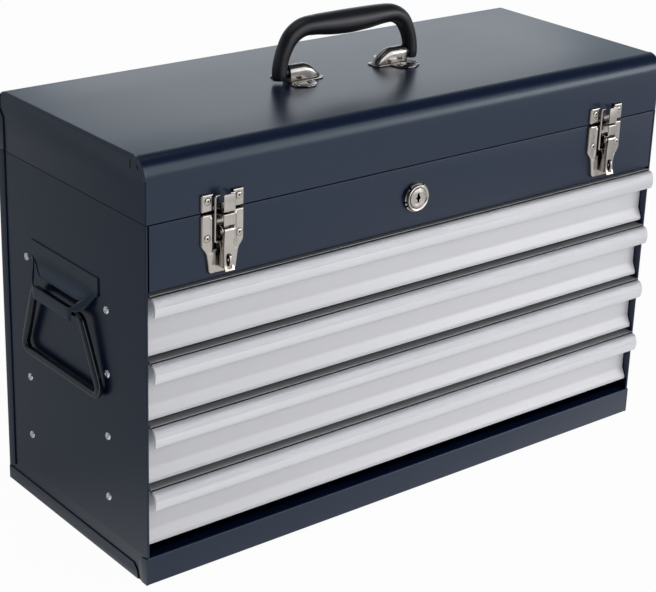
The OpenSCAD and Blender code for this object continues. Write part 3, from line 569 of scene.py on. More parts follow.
def makeLid(c):
    tools = [extruded("cut", [(y + a, lidTop + b) for a, b in line], s * (sideX - deep), s * (sideX + 2), "x")
             for s in (-1, 1) for y, deep, line in c["cuts"]]
    shell = carve(lidShell(c), tools)
    editMesh(shell.data, faceOut)
    parts = [shell]
    bend, rear, top = c["bend"], backY - c["tab"], lidTop - c["tabTop"]
    tab = fillet([(rear, lidLow), (backY - 0.2, lidLow), (backY - 0.2, top), (backY - 4.6, top), (rear, top - 7.2)],
                 c["tabRounds"], 4, closed=True)       # the back sheet's flange round the corner
    turn = np.linspace(-0.12, math.pi / 2 + 0.02, 14)
    arcs = [[(frontY + bend - r * math.cos(a), lidTop - bend + r * math.sin(a)) for a in turn]
            for r in (bend, bend - c["rim"])]
    for s in (-1, 1):
        parts.append(finishMesh(extruded("tab", tab, s * (sideX - 0.4), s * halfW, "x"), 25, bevel=0.3))
        rim = extruded("rim", arcs[0] + arcs[1][::-1], s * (sideX - 1.4), s * (sideX + 0.45), "x")
        parts.append(finishMesh(rim, 30, bevel=0.25))
    return smoothJoin("lidShell", parts, "powder", "lid", ["lid_shell"], 25)


makeLid(lid)
print("stage: lid")

hinge = {"y": boxOf("hinge_body_leaf")[1][1] - 2.2, "z": seamZ, "radius": 2.2, "wall": 0.75, "half": 240.0,
         "pitch": 20.0,
         "gap": 0.15, "roll": 336.0, "rollSteps": 24, "clear": 0.02, "leaf": 0.8, "root": 3.0, "leafFrom": 2.7,
         "leafTo": 17.0,
         "welds": 9, "weldPitch": 55.0, "weldZ": 10.5,
         "weld": [(0.01, 0.0), (2.2, 0.0), (2.6, 0.35), (2.0, 0.42), (0.01, 0.30)]}


def makeHinge(h, first, sign, name, leafNode, body):       # rolled knuckles, and the leaf that they are rolled from
    parts = []
    roll = [math.pi + sign * math.radians(k * h["roll"] / h["rollSteps"]) for k in range(h["rollSteps"] + 1)]

    def arc(r, angles):
        return [(h["y"] + r * math.cos(a), h["z"] + r * math.sin(a)) for a in angles]

    def strip(z0, z1, x0, x1, bevel=0.0):
        y0, y1 = backY + h["clear"], backY + h["leaf"]
        z0, z1 = h["z"] + sign * z0, h["z"] + sign * z1
        parts.append(finishMesh(extruded("leaf", [(y0, z0), (y1, z0), (y1, z1), (y0, z1)], x0, x1, "x"), 30,
                                bevel=bevel))

    for i in range(first, round(2 * h["half"] / h["pitch"]), 2):
        x0, x1 = -h["half"] + i * h["pitch"] + h["gap"], -h["half"] + (i + 1) * h["pitch"] - h["gap"]
        outline = arc(h["radius"], roll) + arc(h["radius"] - h["wall"], roll[::-1])
        parts.append(finishMesh(extruded("knuckle", outline, x0, x1, "x"), 30))
        strip(0.0, h["root"], x0, x1)
    strip(h["leafFrom"], h["leafTo"], -h["half"], h["half"], 0.15)
    for k in range(h["welds"]):       # spot-weld dimples
        x = (k - (h["welds"] - 1) / 2) * h["weldPitch"]
        spot = turned((x, backY + h["leaf"] - 0.25, h["z"] + sign * h["weldZ"]), -90, "X")
        parts.append(finishMesh(lathe("weld", h["weld"], spot, 20), 40))
    return smoothJoin(name, parts, "powder", body, [leafNode], 30)


makeHinge(hinge, 0, -1, "hingeBodyLeaf", "hinge_body_leaf", "cabinet")
makeHinge(hinge, 1, 1, "hingeLidLeaf", "hinge_lid_leaf", "lid")
print("stage: hinge")

# drawings are (out from the cabinet's front, up from the drawer's top)
drawer = {"face": [(-6.4, -2.1), (-6.4, -38.6), (-3.8, -44.2), (-2.7, -46.2), (-2.7, -49.6), (-8.6, -49.6)],
          "faceBends": [0, 7.0, 7.0, 3.0, 1.1, 0], "sheet": 1.0,
          "ledge": [(-8.6, -0.9), (-1.0, -0.6), (0.8, -0.45), (1.0, -0.6)],
          "groove": [(1.05, -2.6), (2.3, -2.6), (2.35, -1.65)],
          "grooveShade": [(1.0, -0.75), (1.05, -2.5), (2.3, -2.5), (2.3, -1.75)],              # painted shade: black strip where the groove lies in shadow
          "nose": [(2.4, -1.5), (4.2, -1.95), (5.8, -3.2), (7.0, -5.3), (7.6, -7.8), (7.7, -10.2), (7.4, -12.8),
                   (6.7, -15.2), (5.9, -16.7)],
          "under": [(5.2, -16.3), (5.8, -14.4), (6.2, -12.4), (6.3, -10.0), (6.0, -7.8), (5.3, -6.2), (4.2, -4.9),
                    (2.8, -3.9), (1.2, -3.3)],
          "tail": [(-6.4, -2.0), (-7.4, -2.0), (-7.4, -9.0), (-8.6, -9.0)], "rib": 0.26, "lastRib": 33}


def makeDrawer(k, c):
    top, half, body = boxOf(f"pull_{k}")[1][2], boxOf("face_1")[1][0], f"drawer_{k}"
    outline = sheetOutline(fromFront(c["face"], top), c["sheet"], c["faceBends"], 7)
    face = finishMesh(extruded(f"drawerFace{k}", outline, -half, half, "x"), 25, bevel=0.18)
    place(face, "silver", body, [f"face_{k}"])
    nose = smoothCurve(c["nose"], 8)
    for i in range(3, c["lastRib"] + 1, 2):      # fine ribs along the upper part of the nose
        nose[i] = (nose[i][0] - c["rib"], nose[i][1] - c["rib"])
    outline = c["ledge"] + c["groove"] + nose + smoothCurve(c["under"], 4) + c["tail"]
    pull = finishMesh(extruded(f"drawerPull{k}", fromFront(outline, top), -half, half, "x"), 22)
    place(pull, "aluminium", body, [f"pull_{k}"])
    # painted shade: a black strip stands in for the shadow in the groove
    strip = extruded(f"drawerGrooveShade{k}", fromFront(c["grooveShade"], top), 0.3 - half, half - 0.3, "x")
    place(finishMesh(strip, 25), "black", body)


for k in (1, 2, 3, 4):
    makeDrawer(k, drawer)
print("stage: drawers")


# drawings are (out from the cabinet's front, up from its foot), spans are (inner, outer, low, high),
# and widths are (height, half)
latch = {"x": sum(v[0] for v in boxOf("lever_right")) / 2, "pin": (8.1, 279.8), "barrel": 2.8, "sheet": 1.0,
         "baseWidths": [(245.2, 10.4), (246.0, 11.8), (247.4, 12.6), (256.0, 13.7), (261.0, 14.6), (263.2, 15.6),
                        (266.6, 18.2), (268.2, 18.9), (270, 19.0), (290.6, 19.0), (292.0, 18.5), (292.6, 17.4)],
         "keeperWidths": [(293.8, 17.8), (294.4, 18.7), (295.4, 19.0), (306.4, 19.0), (307.4, 18.5), (308.0, 17.4)],
         "baseRise": (2.7, 0.8), "keeperRise": (2.4, 0.3), "rim": 1.6, "rimLow": 0.2,
         "window": (5.8, 9.5, 264.5, 289.5), "notch": (-9.2, 9.2, 299.2, 313.0), "slot": (-2.2, 2.2, 250.6, 261.5),
         "tongueHalf": 4.5, "bridge": [(0.6, 291.0), (7.8, 292.9), (10.2, 293.0), (10.2, 284.0)],
         "bridgeBends": [0, 1.5, 1.6, 0],
         "tongue": [(0.6, 296.2), (7.6, 294.4), (10.2, 294.0), (10.2, 307.7)], "tongueBends": [0, 1.4, 1.4, 0],
         "ear": [(0.8, 275.6), (8.8, 277.1), (10.4, 279.8), (8.8, 282.6), (0.8, 283.9)],
         "earRounds": [0, 2.0, 2.4, 2.0, 0],
         "earU": 5.2, "earHalf": 0.4,
         "staple": [(0.8, 251.4), (12.3, 252.4), (13.1, 257.2), (12.3, 262.0), (0.8, 262.4)],
         "stapleRounds": [0, 2.6, 3.0, 2.6, 0],
         "eye": (10.9, 257.2, 1.6), "stapleSheet": 1.6,
         "leverHalf": 4.2, "leverEnd": [(10.2, 270), (10.2, 257), (10.8, 252.4), (12.2, 249.2)],
         "cheek": [(3.3, 277.6), (8.1, 279.8), (9.5, 279.4), (9.5, 250.6), (3.0, 251.0), (3.6, 256.0), (5.2, 263.0),
                   (5.0, 267.0), (2.7, 269.6), (2.5, 273.8)], "cheekRounds": [1, 0, 0, 1.2, 0.8, 6, 4, 2, 1.6, 2],
         "cheekHalf": 0.45,
         "loop": [(4.85, 306.0), (8.5, 306.0), (8.5, 271.0), (-8.5, 271.0), (-8.5, 306.0), (-4.85, 306.0)],
         "loopRounds": [0, 1.3, 1.3, 1.3, 1.3, 0], "loopOut": 4.5, "wire": 0.9,
         "pinTurning": [(0.01, -6.5), (1.1, -6.5), (1.5, -6.2), (1.5, -5.95), (1.2, -5.9), (1.2, 5.9), (1.5, 5.95),
                        (1.5, 6.2),
                        (1.1, 6.5), (0.01, 6.5)],
         "baseRivet": (14.2, 274.0, 2.5), "keeperRivet": (13.75, 302.5, 2.2)}


def stamping(name, x, widths, height, rows, columns):      # pressed plate, its rim turned down to the panel
    zs = np.linspace(widths[0][0], widths[-1][0], rows)
    half = np.interp(zs, [w[0] for w in widths], [w[1] for w in widths])
    verts = [(x + t * w, frontY - height(t * w, z, w), z)
             for z, w in zip(zs, half) for t in np.linspace(-1, 1, columns)]
    n, last = columns, (rows - 1) * columns
    faces = [(j * n + i, j * n + i + 1, (j + 1) * n + i + 1, (j + 1) * n + i) for j in range(rows - 1)
             for i in range(n - 1)]
    rim = list(range(n)) + [j * n + n - 1 for j in range(1, rows)] + list(range(last + n - 2, last - 1, -1))
    rim += [j * n for j in range(rows - 2, 0, -1)]
    base, m = len(verts), len(rim)
    verts += [(verts[i][0], frontY - 0.02, verts[i][2]) for i in rim]
    faces += [(rim[(k + 1) % m], rim[k], base + k, base + (k + 1) % m) for k in range(m)]
    faces.append(tuple(range(base, base + m)))
    return newItem(name, verts, faces)


def edgeDrop(u, z, w, widths, c):     # rounds the rim of a stamping
    near = min(w - abs(u), z - widths[0][0], widths[-1][0] - z) / c["rim"]
    return 1.0 if near >= 1 else c["rimLow"] + (1 - c["rimLow"]) * math.sqrt(max(0.0, 1 - (1 - near) ** 2))


def baseRelief(u, z, w):              # a ridge beside each window and a raised pad below it
    a = abs(u)
    ridge = easeStep((a - 9.0) / 1.3) * (1 - easeStep((a - 10.6) / 1.9))
    ridge *= easeStep((z - 262.0) / 4.0) * easeStep((291.0 - z) / 2.4)
    pad = easeStep((264 - z) / 4) * easeStep((a - 5.6) / 1.6) * easeStep((w - a) / 2.2) * easeStep((z - 245.0) / 2.2)
    flat, rise = latch["baseRise"]
    return (flat + rise * max(ridge, 0.55 * pad)) * edgeDrop(u, z, w, latch["baseWidths"], latch)


def keeperRelief(u, z, w):
    ridge = easeStep((abs(u) - 9.2) / 0.8) * (1 - easeStep((abs(u) - 10.4) / 1.4)) * 0.5
    flat, rise = latch["keeperRise"]
    return (flat + rise * ridge) * edgeDrop(u, z, w, latch["keeperWidths"], latch)


def makeRivet(matrix, r=3.0, h=1.2, hole=0.8):   # tubular rivet head with a shallow eye
    profile = [(0.01, h * 0.2), (hole * 0.8, h * 0.2), (hole, h * 0.9), (r * 0.42, h), (r * 0.72, h * 0.84),
               (r * 0.93, h * 0.46), (r, 0.1), (r * 0.97, -0.05), (0.01, -0.05)]
    return finishMesh(lathe("rivet", profile, matrix, 28), 50)


def punch(x, span, k, r, steps, y0, y1):         # tool for an opening with rounded corners; k mirrors its span
    u0, u1, z0, z1 = span
    line = fillet([(x + k * u0, z0), (x + k * u1, z0), (x + k * u1, z1), (x + k * u0, z1)], r, steps, closed=True)
    return extruded("punch", line, frontY + y0, frontY + y1, "y")


def bentStrip(line, bends, x, half, sheet):
    return finishMesh(extruded("strip", sheetOutline(fromFront(line), sheet, bends, 5), x - half, x + half, "x"), 30,
                      bevel=0.28)


def earPair(line, x, u, half):        # two flat cheeks, one either side of the middle
    return [finishMesh(extruded("ear", fromFront(line), x + k * u - half, x + k * u + half, "x"), 30, bevel=0.15)
            for k in (-1, 1)]


def makeLatchBase(x, c):              # plate with two windows, its bridge, ears for the pin, and the staple
    base = finishMesh(stamping("base", x, c["baseWidths"], baseRelief, 90, 72), 50)
    parts = [carve(base, [join("windows", [punch(x, c["window"], k, 0.8, 3, -5, 0.5) for k in (-1, 1)])])]
    parts.append(bentStrip(c["bridge"], c["bridgeBends"], x, c["tongueHalf"], c["sheet"]))
    parts += earPair(fillet(c["ear"], c["earRounds"], 5), x, c["earU"], c["earHalf"])
    t, (out, z, r) = c["stapleSheet"], c["eye"]
    turn = Matrix(((0, 0, 1, x - t / 2), (-1, 0, 0, frontY), (0, 1, 0, 0), (0, 0, 0, 1)))
    parts.append(plate("staple", fillet(c["staple"], c["stapleRounds"], 6), [circle(out, z, r, 24)], t, turn, 0.25))
    return parts


def makeLatchKeeper(x, c):
    keeper = finishMesh(stamping("keeper", x, c["keeperWidths"], keeperRelief, 40, 72), 50)
    carve(keeper, [punch(x, c["notch"], 1, 1.0, 3, -5, 0.5)])
    return [keeper, bentStrip(c["tongue"], c["tongueBends"], x, c["tongueHalf"], -c["sheet"])]


def makeLatchLever(x, c):             # rolled top, flat front, pierced and turned-out end, two cheeks
    (p, z), r, half = c["pin"], c["barrel"], c["leverHalf"]
    roll = [(p + r * math.cos(a), z + r * math.sin(a)) for a in np.linspace(math.pi * 1.15, 0, 18)]
    line = [roll[0]] + fillet(roll + c["leverEnd"], [0] * 20 + [6, 0], 5)[1:]
    outline = fromFront(line) + fromFront(offsetPath(line, -c["sheet"]))[::-1]
    front = finishMesh(extruded("front", outline, x - half, x + half, "x"), 30, bevel=0.25)
    carve(front, [punch(x, c["slot"], 1, 1.3, 4, -14, -7)])
    return [front] + earPair(fillet(c["cheek"], c["cheekRounds"], 5, closed=True), x, half - c["cheekHalf"],
                             c["cheekHalf"])


def makeLatch(s, c):
    side = "Right" if s > 0 else "Left"
    tag, x = side.lower(), s * c["x"]
    smoothJoin("latchBase" + side, makeLatchBase(x, c), "nickel", "cabinet", [f"latch_base_{tag}"])
    smoothJoin("latchKeeper" + side, makeLatchKeeper(x, c), "nickel", "lid", [f"keeper_{tag}"])
    smoothJoin("latchLever" + side, makeLatchLever(x, c), "nickel", f"{tag}_lever", [f"lever_{tag}"])
    loop = [(x + a, frontY - c["loopOut"], b) for a, b in fillet(c["loop"], c["loopRounds"], 6)]
    place(makeWire("latchWire" + side, loop, c["wire"]), "nickel", f"{tag}_wire", [f"wire_loop_{tag}"])


def makeLatchFastenings(c):
    pins, heads = [], {"baseRivet": [], "keeperRivet": []}
    for s in (-1, 1):
        turn = turned((s * c["x"], frontY - c["pin"][0], c["pin"][1]), 90, "Y")
        pins.append(finishMesh(lathe("pin", c["pinTurning"], turn, 24), 40))
        for key, made in heads.items():
            u, z, out = c[key]
            made += [makeRivet(toFront(s * c["x"] + k * u, z, out)) for k in (-1, 1)]
    smoothJoin("latchPins", pins, "nickel", "cabinet", ["latch_pins"], 50)
    smoothJoin("latchRivets", heads["baseRivet"], "nickel", "cabinet", ["latch_rivets"], 50)
    smoothJoin("keeperRivets", heads["keeperRivet"], "nickel", "lid", ["keeper_rivets"], 50)


for s in (-1, 1):
    makeLatch(s, latch)
makeLatchFastenings(latch)
print("stage: latches")

# turnings are (radius, out from the cabinet's front)
lock = {"notches": (62, 131, 190, 208), "tooth": [(10.6, -0.8), (13.2, -1.1), (13.2, 1.1), (10.6, 0.8)],
        "collar": [(9.0, 0.05), (12.2, 0.05), (12.2, 2.3), (11.7, 2.8), (9.0, 2.8)],
        "body": [(8.2, -22), (8.95, -22), (8.95, 0.5), (10.9, 0.5), (10.9, 3.9), (10.55, 4.7), (10.0, 5.0),
                 (9.4, 4.8), (8.45, 4.2),
                 (8.2, 3.9), (8.2, -22)],
        "barrel": [(0.01, -22.6), (7.9, -22.6), (7.9, 2.0), (8.02, 2.3), (8.02, 3.1), (0.01, 3.1)], "cap": 8.02,
        "capFrom": 3.1,
        "capSheet": 1.3, "step": [(5.5, 4.1), (5.5, 4.42), (5.75, 4.52), (6.0, 4.42), (6.0, 4.1)],
        "key": [(-0.9, 4.0), (-1.0, 1.5), (-2.3, 0.4), (-2.0, -0.9), (-1.0, -1.4), (-0.7, -3.9), (0.7, -3.9),
                (0.9, -1.6),
                (2.1, -0.7), (1.9, 1.0), (1.0, 1.8), (0.9, 4.0)], "dot": (0.5, -6.0, 0.6),
        "keywayShade": [(0.01, 3.12), (5.4, 3.12), (5.4, 3.2), (0.01, 3.2)]}


def makeLock(c):
    turn = toFront(*lockCentre)
    collar = finishMesh(lathe("collar", c["collar"], turn, 72), 30)
    teeth = []
    for angle in c["notches"]:
        tooth = extruded("tooth", c["tooth"], -0.5, 4, "z")
        tooth.data.transform(Matrix.Scale(mm, 4) @ turn @ turned((0, 0, 0), angle, "Z") @ Matrix.Scale(1 / mm, 4))
        teeth.append(tooth)
    carve(collar, [join("teeth", teeth)])
    body = finishMesh(lathe("body", c["body"], turn, 72), 35)
    smoothJoin("lockHousing", [collar, body], "nickel", "cabinet", ["lock_housing"], 35)
    barrel, step = (finishMesh(lathe(key, c[key], turn, 64), 35) for key in ("barrel", "step"))
    x, z, r = c["dot"]
    holes = [fillet(c["key"], 0.3, 3, closed=True), circle(x, z, r, 16)]
    cap = plate("cap", circle(0, 0, c["cap"], 64), holes, c["capSheet"],
                turn @ Matrix.Translation((0, 0, c["capFrom"])), 0.3)
    smoothJoin("lockPlug", [barrel, cap, step], "nickel", "lock", ["lock_plug"], 35)
    # painted shade: a black disc behind the cap stands in for the keyway's dark depth
    place(lathe("keywayShadeDisc", c["keywayShade"], turn, 32), "black", "lock")


makeLock(lock)
print("stage: lock")

bracket = {"y": 7.5, "half": 49.5, "top": 232.0, "fold": 223.4, "t": 1.2, "rise": 25.0, "strapOut": (0.35, 11.9),
           "strapTop": (219.1, 16.1), "strapLow": (200.8, 16.5, 2.6), "cutout": (192.6, 28.6, 1.2),
           "flapOut": (0.2, 5.2),
           "flapEnd": (217.6, 12.2, 3.0), "bulge": [-0.4, 0.0, 0.2, 0.3, 0.25, 0.05, -0.35], "closedFrom": -31.5}
bail = {"out": 7.0, "z": 197.0, "slant": 21.8, "shoulder": (30.0, -7.0, 7.0), "corner": (48.7, -52.5, 6.5),
        "thin": 3.0,
        "arm": 3.7, "armLength": 59.0, "tuck": 2.2, "tuckLength": 50.0, "square": 0.75, "sides": 22}
runnerRivet = {"y": ((-52, 0), (66, 4)), "top": 210.0, "pitch": 52.3,
               "turning": [(0.01, 0.45), (0.95, 0.45), (1.1, 0.55), (1.25, 1.12), (1.8, 1.3), (2.5, 1.14),
                           (2.95, 0.8), (3.2, 0.35),
                           (3.25, -0.02), (0.01, -0.02)]}


def bracketShape(u, c):               # strap and flap as they rise out of the side panel at a place along the bracket
    t = min(1.0, max(0.0, (c["half"] - abs(u)) / c["rise"]))
    k = (1 - math.cos(math.pi * t)) / 2
    low, drop, power = c["strapLow"]
    edge = low + drop * (1 - k) ** power
    cut, u1, soft = c["cutout"]
    end, fall, lift = c["flapEnd"]
    return {"rise": k, "strapOut": c["strapOut"][0] + c["strapOut"][1] * k,
            "strapTop": c["strapTop"][0] - c["strapTop"][1] * k,
            "strapLow": edge + (cut - edge) * easeStep((u1 - abs(u)) / soft),
            "flapOut": c["flapOut"][0] + c["flapOut"][1] * k,
            "flapEnd": end - fall * k + lift * k * k}


def flap(u, g, c):
    o, z1, t, top = g["flapOut"], g["flapEnd"], c["t"], c["top"]
    drop = c["fold"] - z1
    line = smoothCurve([(0.0, top), (0.0, top - 4.5), (0.03, c["fold"]), (o * 0.13, z1 + drop * 0.76),
                        (o * 0.45, z1 + drop * 0.42), (o, z1)], 5)
    inner = [(max(0.0, d), z) for d, z in line]
    outer = [(d + t * (1 if z > 222 else 0.96), z - (0.3 if z < 220 else 0.0)) for d, z in line]
    outer[0], outer[-1] = (t - 0.35, top), (outer[-1][0] - 0.3, outer[-1][1] + 0.1)      # eased edges
    outer.insert(1, (t, top - 0.4))
    inner.insert(1, (0.0, top - 0.4))
    return outer, inner


def strap(u, g, c):
    o, z1, z0 = g["strapOut"], g["strapTop"], g["strapLow"]
    zs = [z1, z1 - 0.35] + [z1 + (z0 - z1) * k for k in (0.25, 0.5, 0.75)] + [z0 + 0.35, z0]
    outer = [(o + c["t"] + k * g["rise"], z) for k, z in zip(c["bulge"], zs)]
    return outer, [(o + (k + 0.35) * g["rise"] * 0.8, z) for k, z in zip(c["bulge"], zs)]


def closing(u, g, c):                 # the front end turns in from the strap to the flap
    sag = easeStep((-30.0 - u) / 6.0)
    a = Vector((g["flapOut"] + c["t"] * 0.9, g["flapEnd"] + 0.5))
    b = Vector((g["strapOut"] + c["t"] - 0.2, g["strapTop"] - 0.5))
    mid = [tuple(a.lerp(b, k) + Vector((0.5, sag)) * math.sin(math.pi * k)) for k in (0, 0.2, 0.4, 0.6, 0.8, 1)]
    return mid, [(d - 0.9, z - 0.5) for d, z in mid]


def makeBracket(s, c):
    ends = [-c["half"], -c["half"] + 0.3, -c["half"] + 1.1]
    us = ends + list(np.linspace(-47, 47, 95)) + [-u for u in reversed(ends)]
    parts = []
    for section, span in ((flap, us), (strap, us), (closing, [u for u in us if u < c["closedFrom"]])):
        rings = []
        for u in span:
            outer, inner = section(u, bracketShape(u, c), c)
            rings.append([(s * (sideX + d), c["y"] + u, z) for d, z in outer + inner[::-1]])
        parts.append(finishMesh(loft("bracket", rings), 40))
    side = "Right" if s > 0 else "Left"
    return smoothJoin("sideBracket" + side, parts, "powder", "cabinet", ["bail_bracket_" + side.lower()])


def bailPath(c):                      # closed loop of (along, up), with the pivot bar at the top
    slant = math.radians(c["slant"])
    x, z, r = c["shoulder"]
    top = [(x + r * math.cos(a), z + r * math.sin(a)) for a in np.linspace(math.pi / 2, slant, 7)]
    x, z, r = c["corner"]
    low = [(x + r * math.cos(a), z + r * math.sin(a)) for a in np.linspace(slant, -math.pi / 2, 12)]
    arm = [tuple(Vector(top[-1]).lerp(Vector(low[0]), t)) for t in (0.15, 0.3, 0.45, 0.6, 0.75, 0.9)]
    half = top + arm + low + [(x * k, low[-1][1]) for k in (0.8, 0.6, 0.4, 0.2)]
    return half + [(0.0, low[-1][1])] + [(-u, v) for u, v in half[::-1]] + [(-20, 0), (-8, 0), (8, 0), (20, 0)]


def makeBail(s, c, y):                # moulded loop, thicker along its arms
    path, rings = bailPath(c), []
    for i, (u, v) in enumerate(path):
        q0, q1 = path[i - 1], path[(i + 1) % len(path)]
        d = Vector((q1[0] - q0[0], q1[1] - q0[1])).normalized()
        tuck = c["tuck"] * min(1.0, max(0.0, -v / c["tuckLength"]))
        width = c["thin"] + (c["arm"] - c["thin"]) * math.sin(math.pi * min(1.0, max(0.0, -v / c["armLength"])))
        ring = []
        for a in (2 * math.pi * j / c["sides"] for j in range(c["sides"])):
            ca, sa = (math.copysign(abs(k) ** c["square"], k) for k in (math.cos(a), math.sin(a)))
            w, h = width * ca, c["thin"] * sa
            ring.append((s * (sideX + c["out"] + h - tuck), y + u + d.y * w, c["z"] + v - d.x * w))
        rings.append(ring)
    side = "right" if s > 0 else "left"
    item = finishMesh(loft("sideHandle" + side.capitalize(), rings, closed=True), 60)
    return place(item, "plastic", f"{side}_handle", [f"bail_{side}"])


def makeRunnerRivets(c):              # low domes with the mandrel's eye
    spots = [(y, c["top"] - c["pitch"] * k + lift) for k in range(4) for y, lift in c["y"]]
    heads = [finishMesh(lathe("rivet", c["turning"], toSide(s, y, z), 28), 55) for s in (-1, 1) for y, z in spots]
    smoothJoin("runnerRivets", heads, "rivet", "cabinet", ["runner_rivets"], 50)


for s in (-1, 1):
    makeBracket(s, bracket)
    makeBail(s, bail, bracket["y"])
makeRunnerRivets(runnerRivet)
print("stage: side handles")

# each key is (along, up from the lid, half thickness in its plane, half depth)
carry = {"y": 0.0, "axis": 8.0, "steps": 6, "sides": 40,
         "half": [(68.5, 2.5, 5.6, 5.4), (68.5, 7.5, 6.1, 6.0), (67.2, 17.0, 6.2, 6.2), (63.8, 27.0, 6.4, 6.6),
                  (57.5, 36.5, 7.0, 7.2),
                  (47.0, 42.4, 7.5, 8.2), (34.0, 43.2, 8.2, 9.2), (18.0, 42.4, 9.3, 9.8)],
         "middle": (0.0, 42.0, 9.8, 10.0),
         "parting": (0.10, 0.12), "boss": [(0.01, 51.0), (3.4, 51.0), (4.0, 51.6), (4.0, 64.0), (0.01, 64.0)]}
saddle = {"top": [(28.4, 0.3), (28.8, 1.8), (30.4, 4.4), (33.5, 7.6), (37.0, 10.4), (41.0, 12.6), (45.0, 13.6),
                  (61.0, 13.6)],
          "half": [(28.3, 0.4), (28.8, 1.9), (30.3, 3.6), (33.0, 4.8), (37.0, 5.5), (41.0, 5.6), (61.0, 5.6)],
          "rings": [28.4, 28.6, 28.9, 29.4, 30.2, 31.2, 32.4, 34.0, 36.0, 38.0, 40.0, 42.0, 43.5, 45.0, 48.0, 52.0,
                    56.0, 60.6, 61.0],
          "easedFrom": 60.8, "eased": 0.25, "foot": (0.9, 0.3, 1.0), "flare": (0.25, 1.25),
          "wallFrom": (1.5, 1.3, 0.1),
          "pocket": [(0.01, 48.5), (4.5, 48.5), (4.5, 64), (0.01, 64)], "sheet": 1.2, "rim": 0.35,
          "edge": [(27.0, 4.4), (30.0, 7.4), (41.0, 8.3), (43.2, 17.0), (49.0, 23.0), (56.0, 23.0), (64.8, 17.8),
                   (65.2, 9.7), (61.0, 9.7)],
          "round": [2.5, 3.0, 2.5, 6.0, 5.0, 5.0, 4.0, 2.0, 1.5], "rivets": [(47.0, 13.2), (61.5, 15.0)],
          "rivetHead": (2.9, 1.3)}


def gripAxis(s, c):                   # own Z out along the carry handle's pivot
    return turned((0, c["y"], lidTop + c["axis"]), 90 * s, "Y")


def makeGrip(c):
    path = smoothCurve([(-a, b, w, d) for a, b, w, d in c["half"]] + [c["middle"]] + c["half"][::-1], c["steps"])
    rings, last = [], len(path) - 1
    near, step = c["parting"]         # mould parting line
    for i, (x, z, thick, deep) in enumerate(path):
        p0, p1 = path[max(0, i - 1)], path[min(last, i + 1)]
        dx, dz = p1[0] - p0[0], p1[1] - p0[1]
        length = math.hypot(dx, dz)
        dx, dz = dx / length, dz / length
        ring = []
        for a in (2 * math.pi * j / c["sides"] for j in range(c["sides"])):
            w, h = thick * math.cos(a), deep * math.sin(a)
            if abs(math.cos(a)) < near:
                h -= math.copysign(step, math.sin(a))
            ring.append((x - dz * w, c["y"] + h, lidTop + z + dx * w))
        rings.append(ring)
    parts = [finishMesh(loft("carryHandle", rings), 50, bevel=1.2, segments=3, limit=60)]
    parts += [finishMesh(lathe("boss", c["boss"], gripAxis(s, c), 28), 40) for s in (-1, 1)]
    return smoothJoin("carryHandle", parts, "grip", "carry_handle", ["grip"], 50)


def humpRing(x, c):                   # section of a saddle across the pivot: foot, wall, round top, wall, foot
    w, top = (float(np.interp(x, *zip(*c[key]))) for key in ("half", "top"))
    if x > c["easedFrom"]:
        w, top = w - c["eased"], top - c["eased"]
    spring = max(1.0, top - w)        # where the sides turn into the round top
    (footOut, footLow, footTop), (flareOut, flareTop), (low, flat, lift) = c["foot"], c["flare"], c["wallFrom"]
    wall = [low + (spring - low) * v if spring > low else flat + lift * v for v in (0, 0.35, 0.7)]
    ring = [(-w - footOut, footTop), (-w - flareOut, flareTop)] + [(-w, z) for z in wall]
    ring += [(-w * math.cos(a), spring + (top - spring) * math.sin(a)) for a in np.linspace(0.02, math.pi - 0.02, 17)]
    ring += [(w, z) for z in reversed(wall)] + [(w + flareOut, flareTop), (w + footOut, footTop)]
    return ring + [(w + footOut, footLow), (-w - footOut, footLow)]


def makeSaddle(s, c, d):              # drawn hump over the pivot on a flange with two ears
    rings = [[(s * x, d["y"] + y, lidTop + z) for y, z in humpRing(x, c)] for x in c["rings"]]
    hump = finishMesh(loft("hump", rings), 40)
    carve(hump, [lathe("pocket", c["pocket"], gripAxis(s, d), 28)])
    edge = [(s * x, d["y"] - y) for x, y in c["edge"]] + [(s * x, d["y"] + y) for x, y in reversed(c["edge"])]
    outline = fillet(edge, c["round"] + c["round"][::-1], 6, closed=True)
    flange = plate("flange", outline, [], c["sheet"], Matrix.Translation((0, 0, lidTop)), c["rim"])
    side = "right" if s > 0 else "left"
    return smoothJoin("saddle" + side.capitalize(), [hump, flange], "saddle", "lid", [f"saddle_{side}"])


def makeSaddleRivets(c, d):
    spots = [(s * x, d["y"] + k * y, lidTop + c["sheet"]) for s in (-1, 1) for x, y in c["rivets"] for k in (-1, 1)]
    heads = [makeRivet(Matrix.Translation(spot), *c["rivetHead"]) for spot in spots]
    smoothJoin("saddleRivets", heads, "nickel", "lid", ["saddle_rivets"], 50)


makeGrip(carry)
for s in (-1, 1):
    makeSaddle(s, saddle, carry)
makeSaddleRivets(saddle, carry)
print("stage: carry handle")

# pieces that keep their frame shapes
inside = {"tray_floor": "powderInside", "lid_catch": "powderInside", "outer_runners": "zinc", "hinge_pin": "zinc",
          "lock_nut": "zinc",
          "lock_cam": "zinc", "cam_screw": "zinc"}
for k in (1, 2, 3, 4):
    inside.update({f"pan_{k}": "powderInside", f"slide_{k}": "zinc", f"cage_{k}": "zinc"})
for name, look in inside.items():
    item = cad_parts[name]
    item.data.materials.clear()
    item.data.materials.append(materials[look])
print("stage: inside")
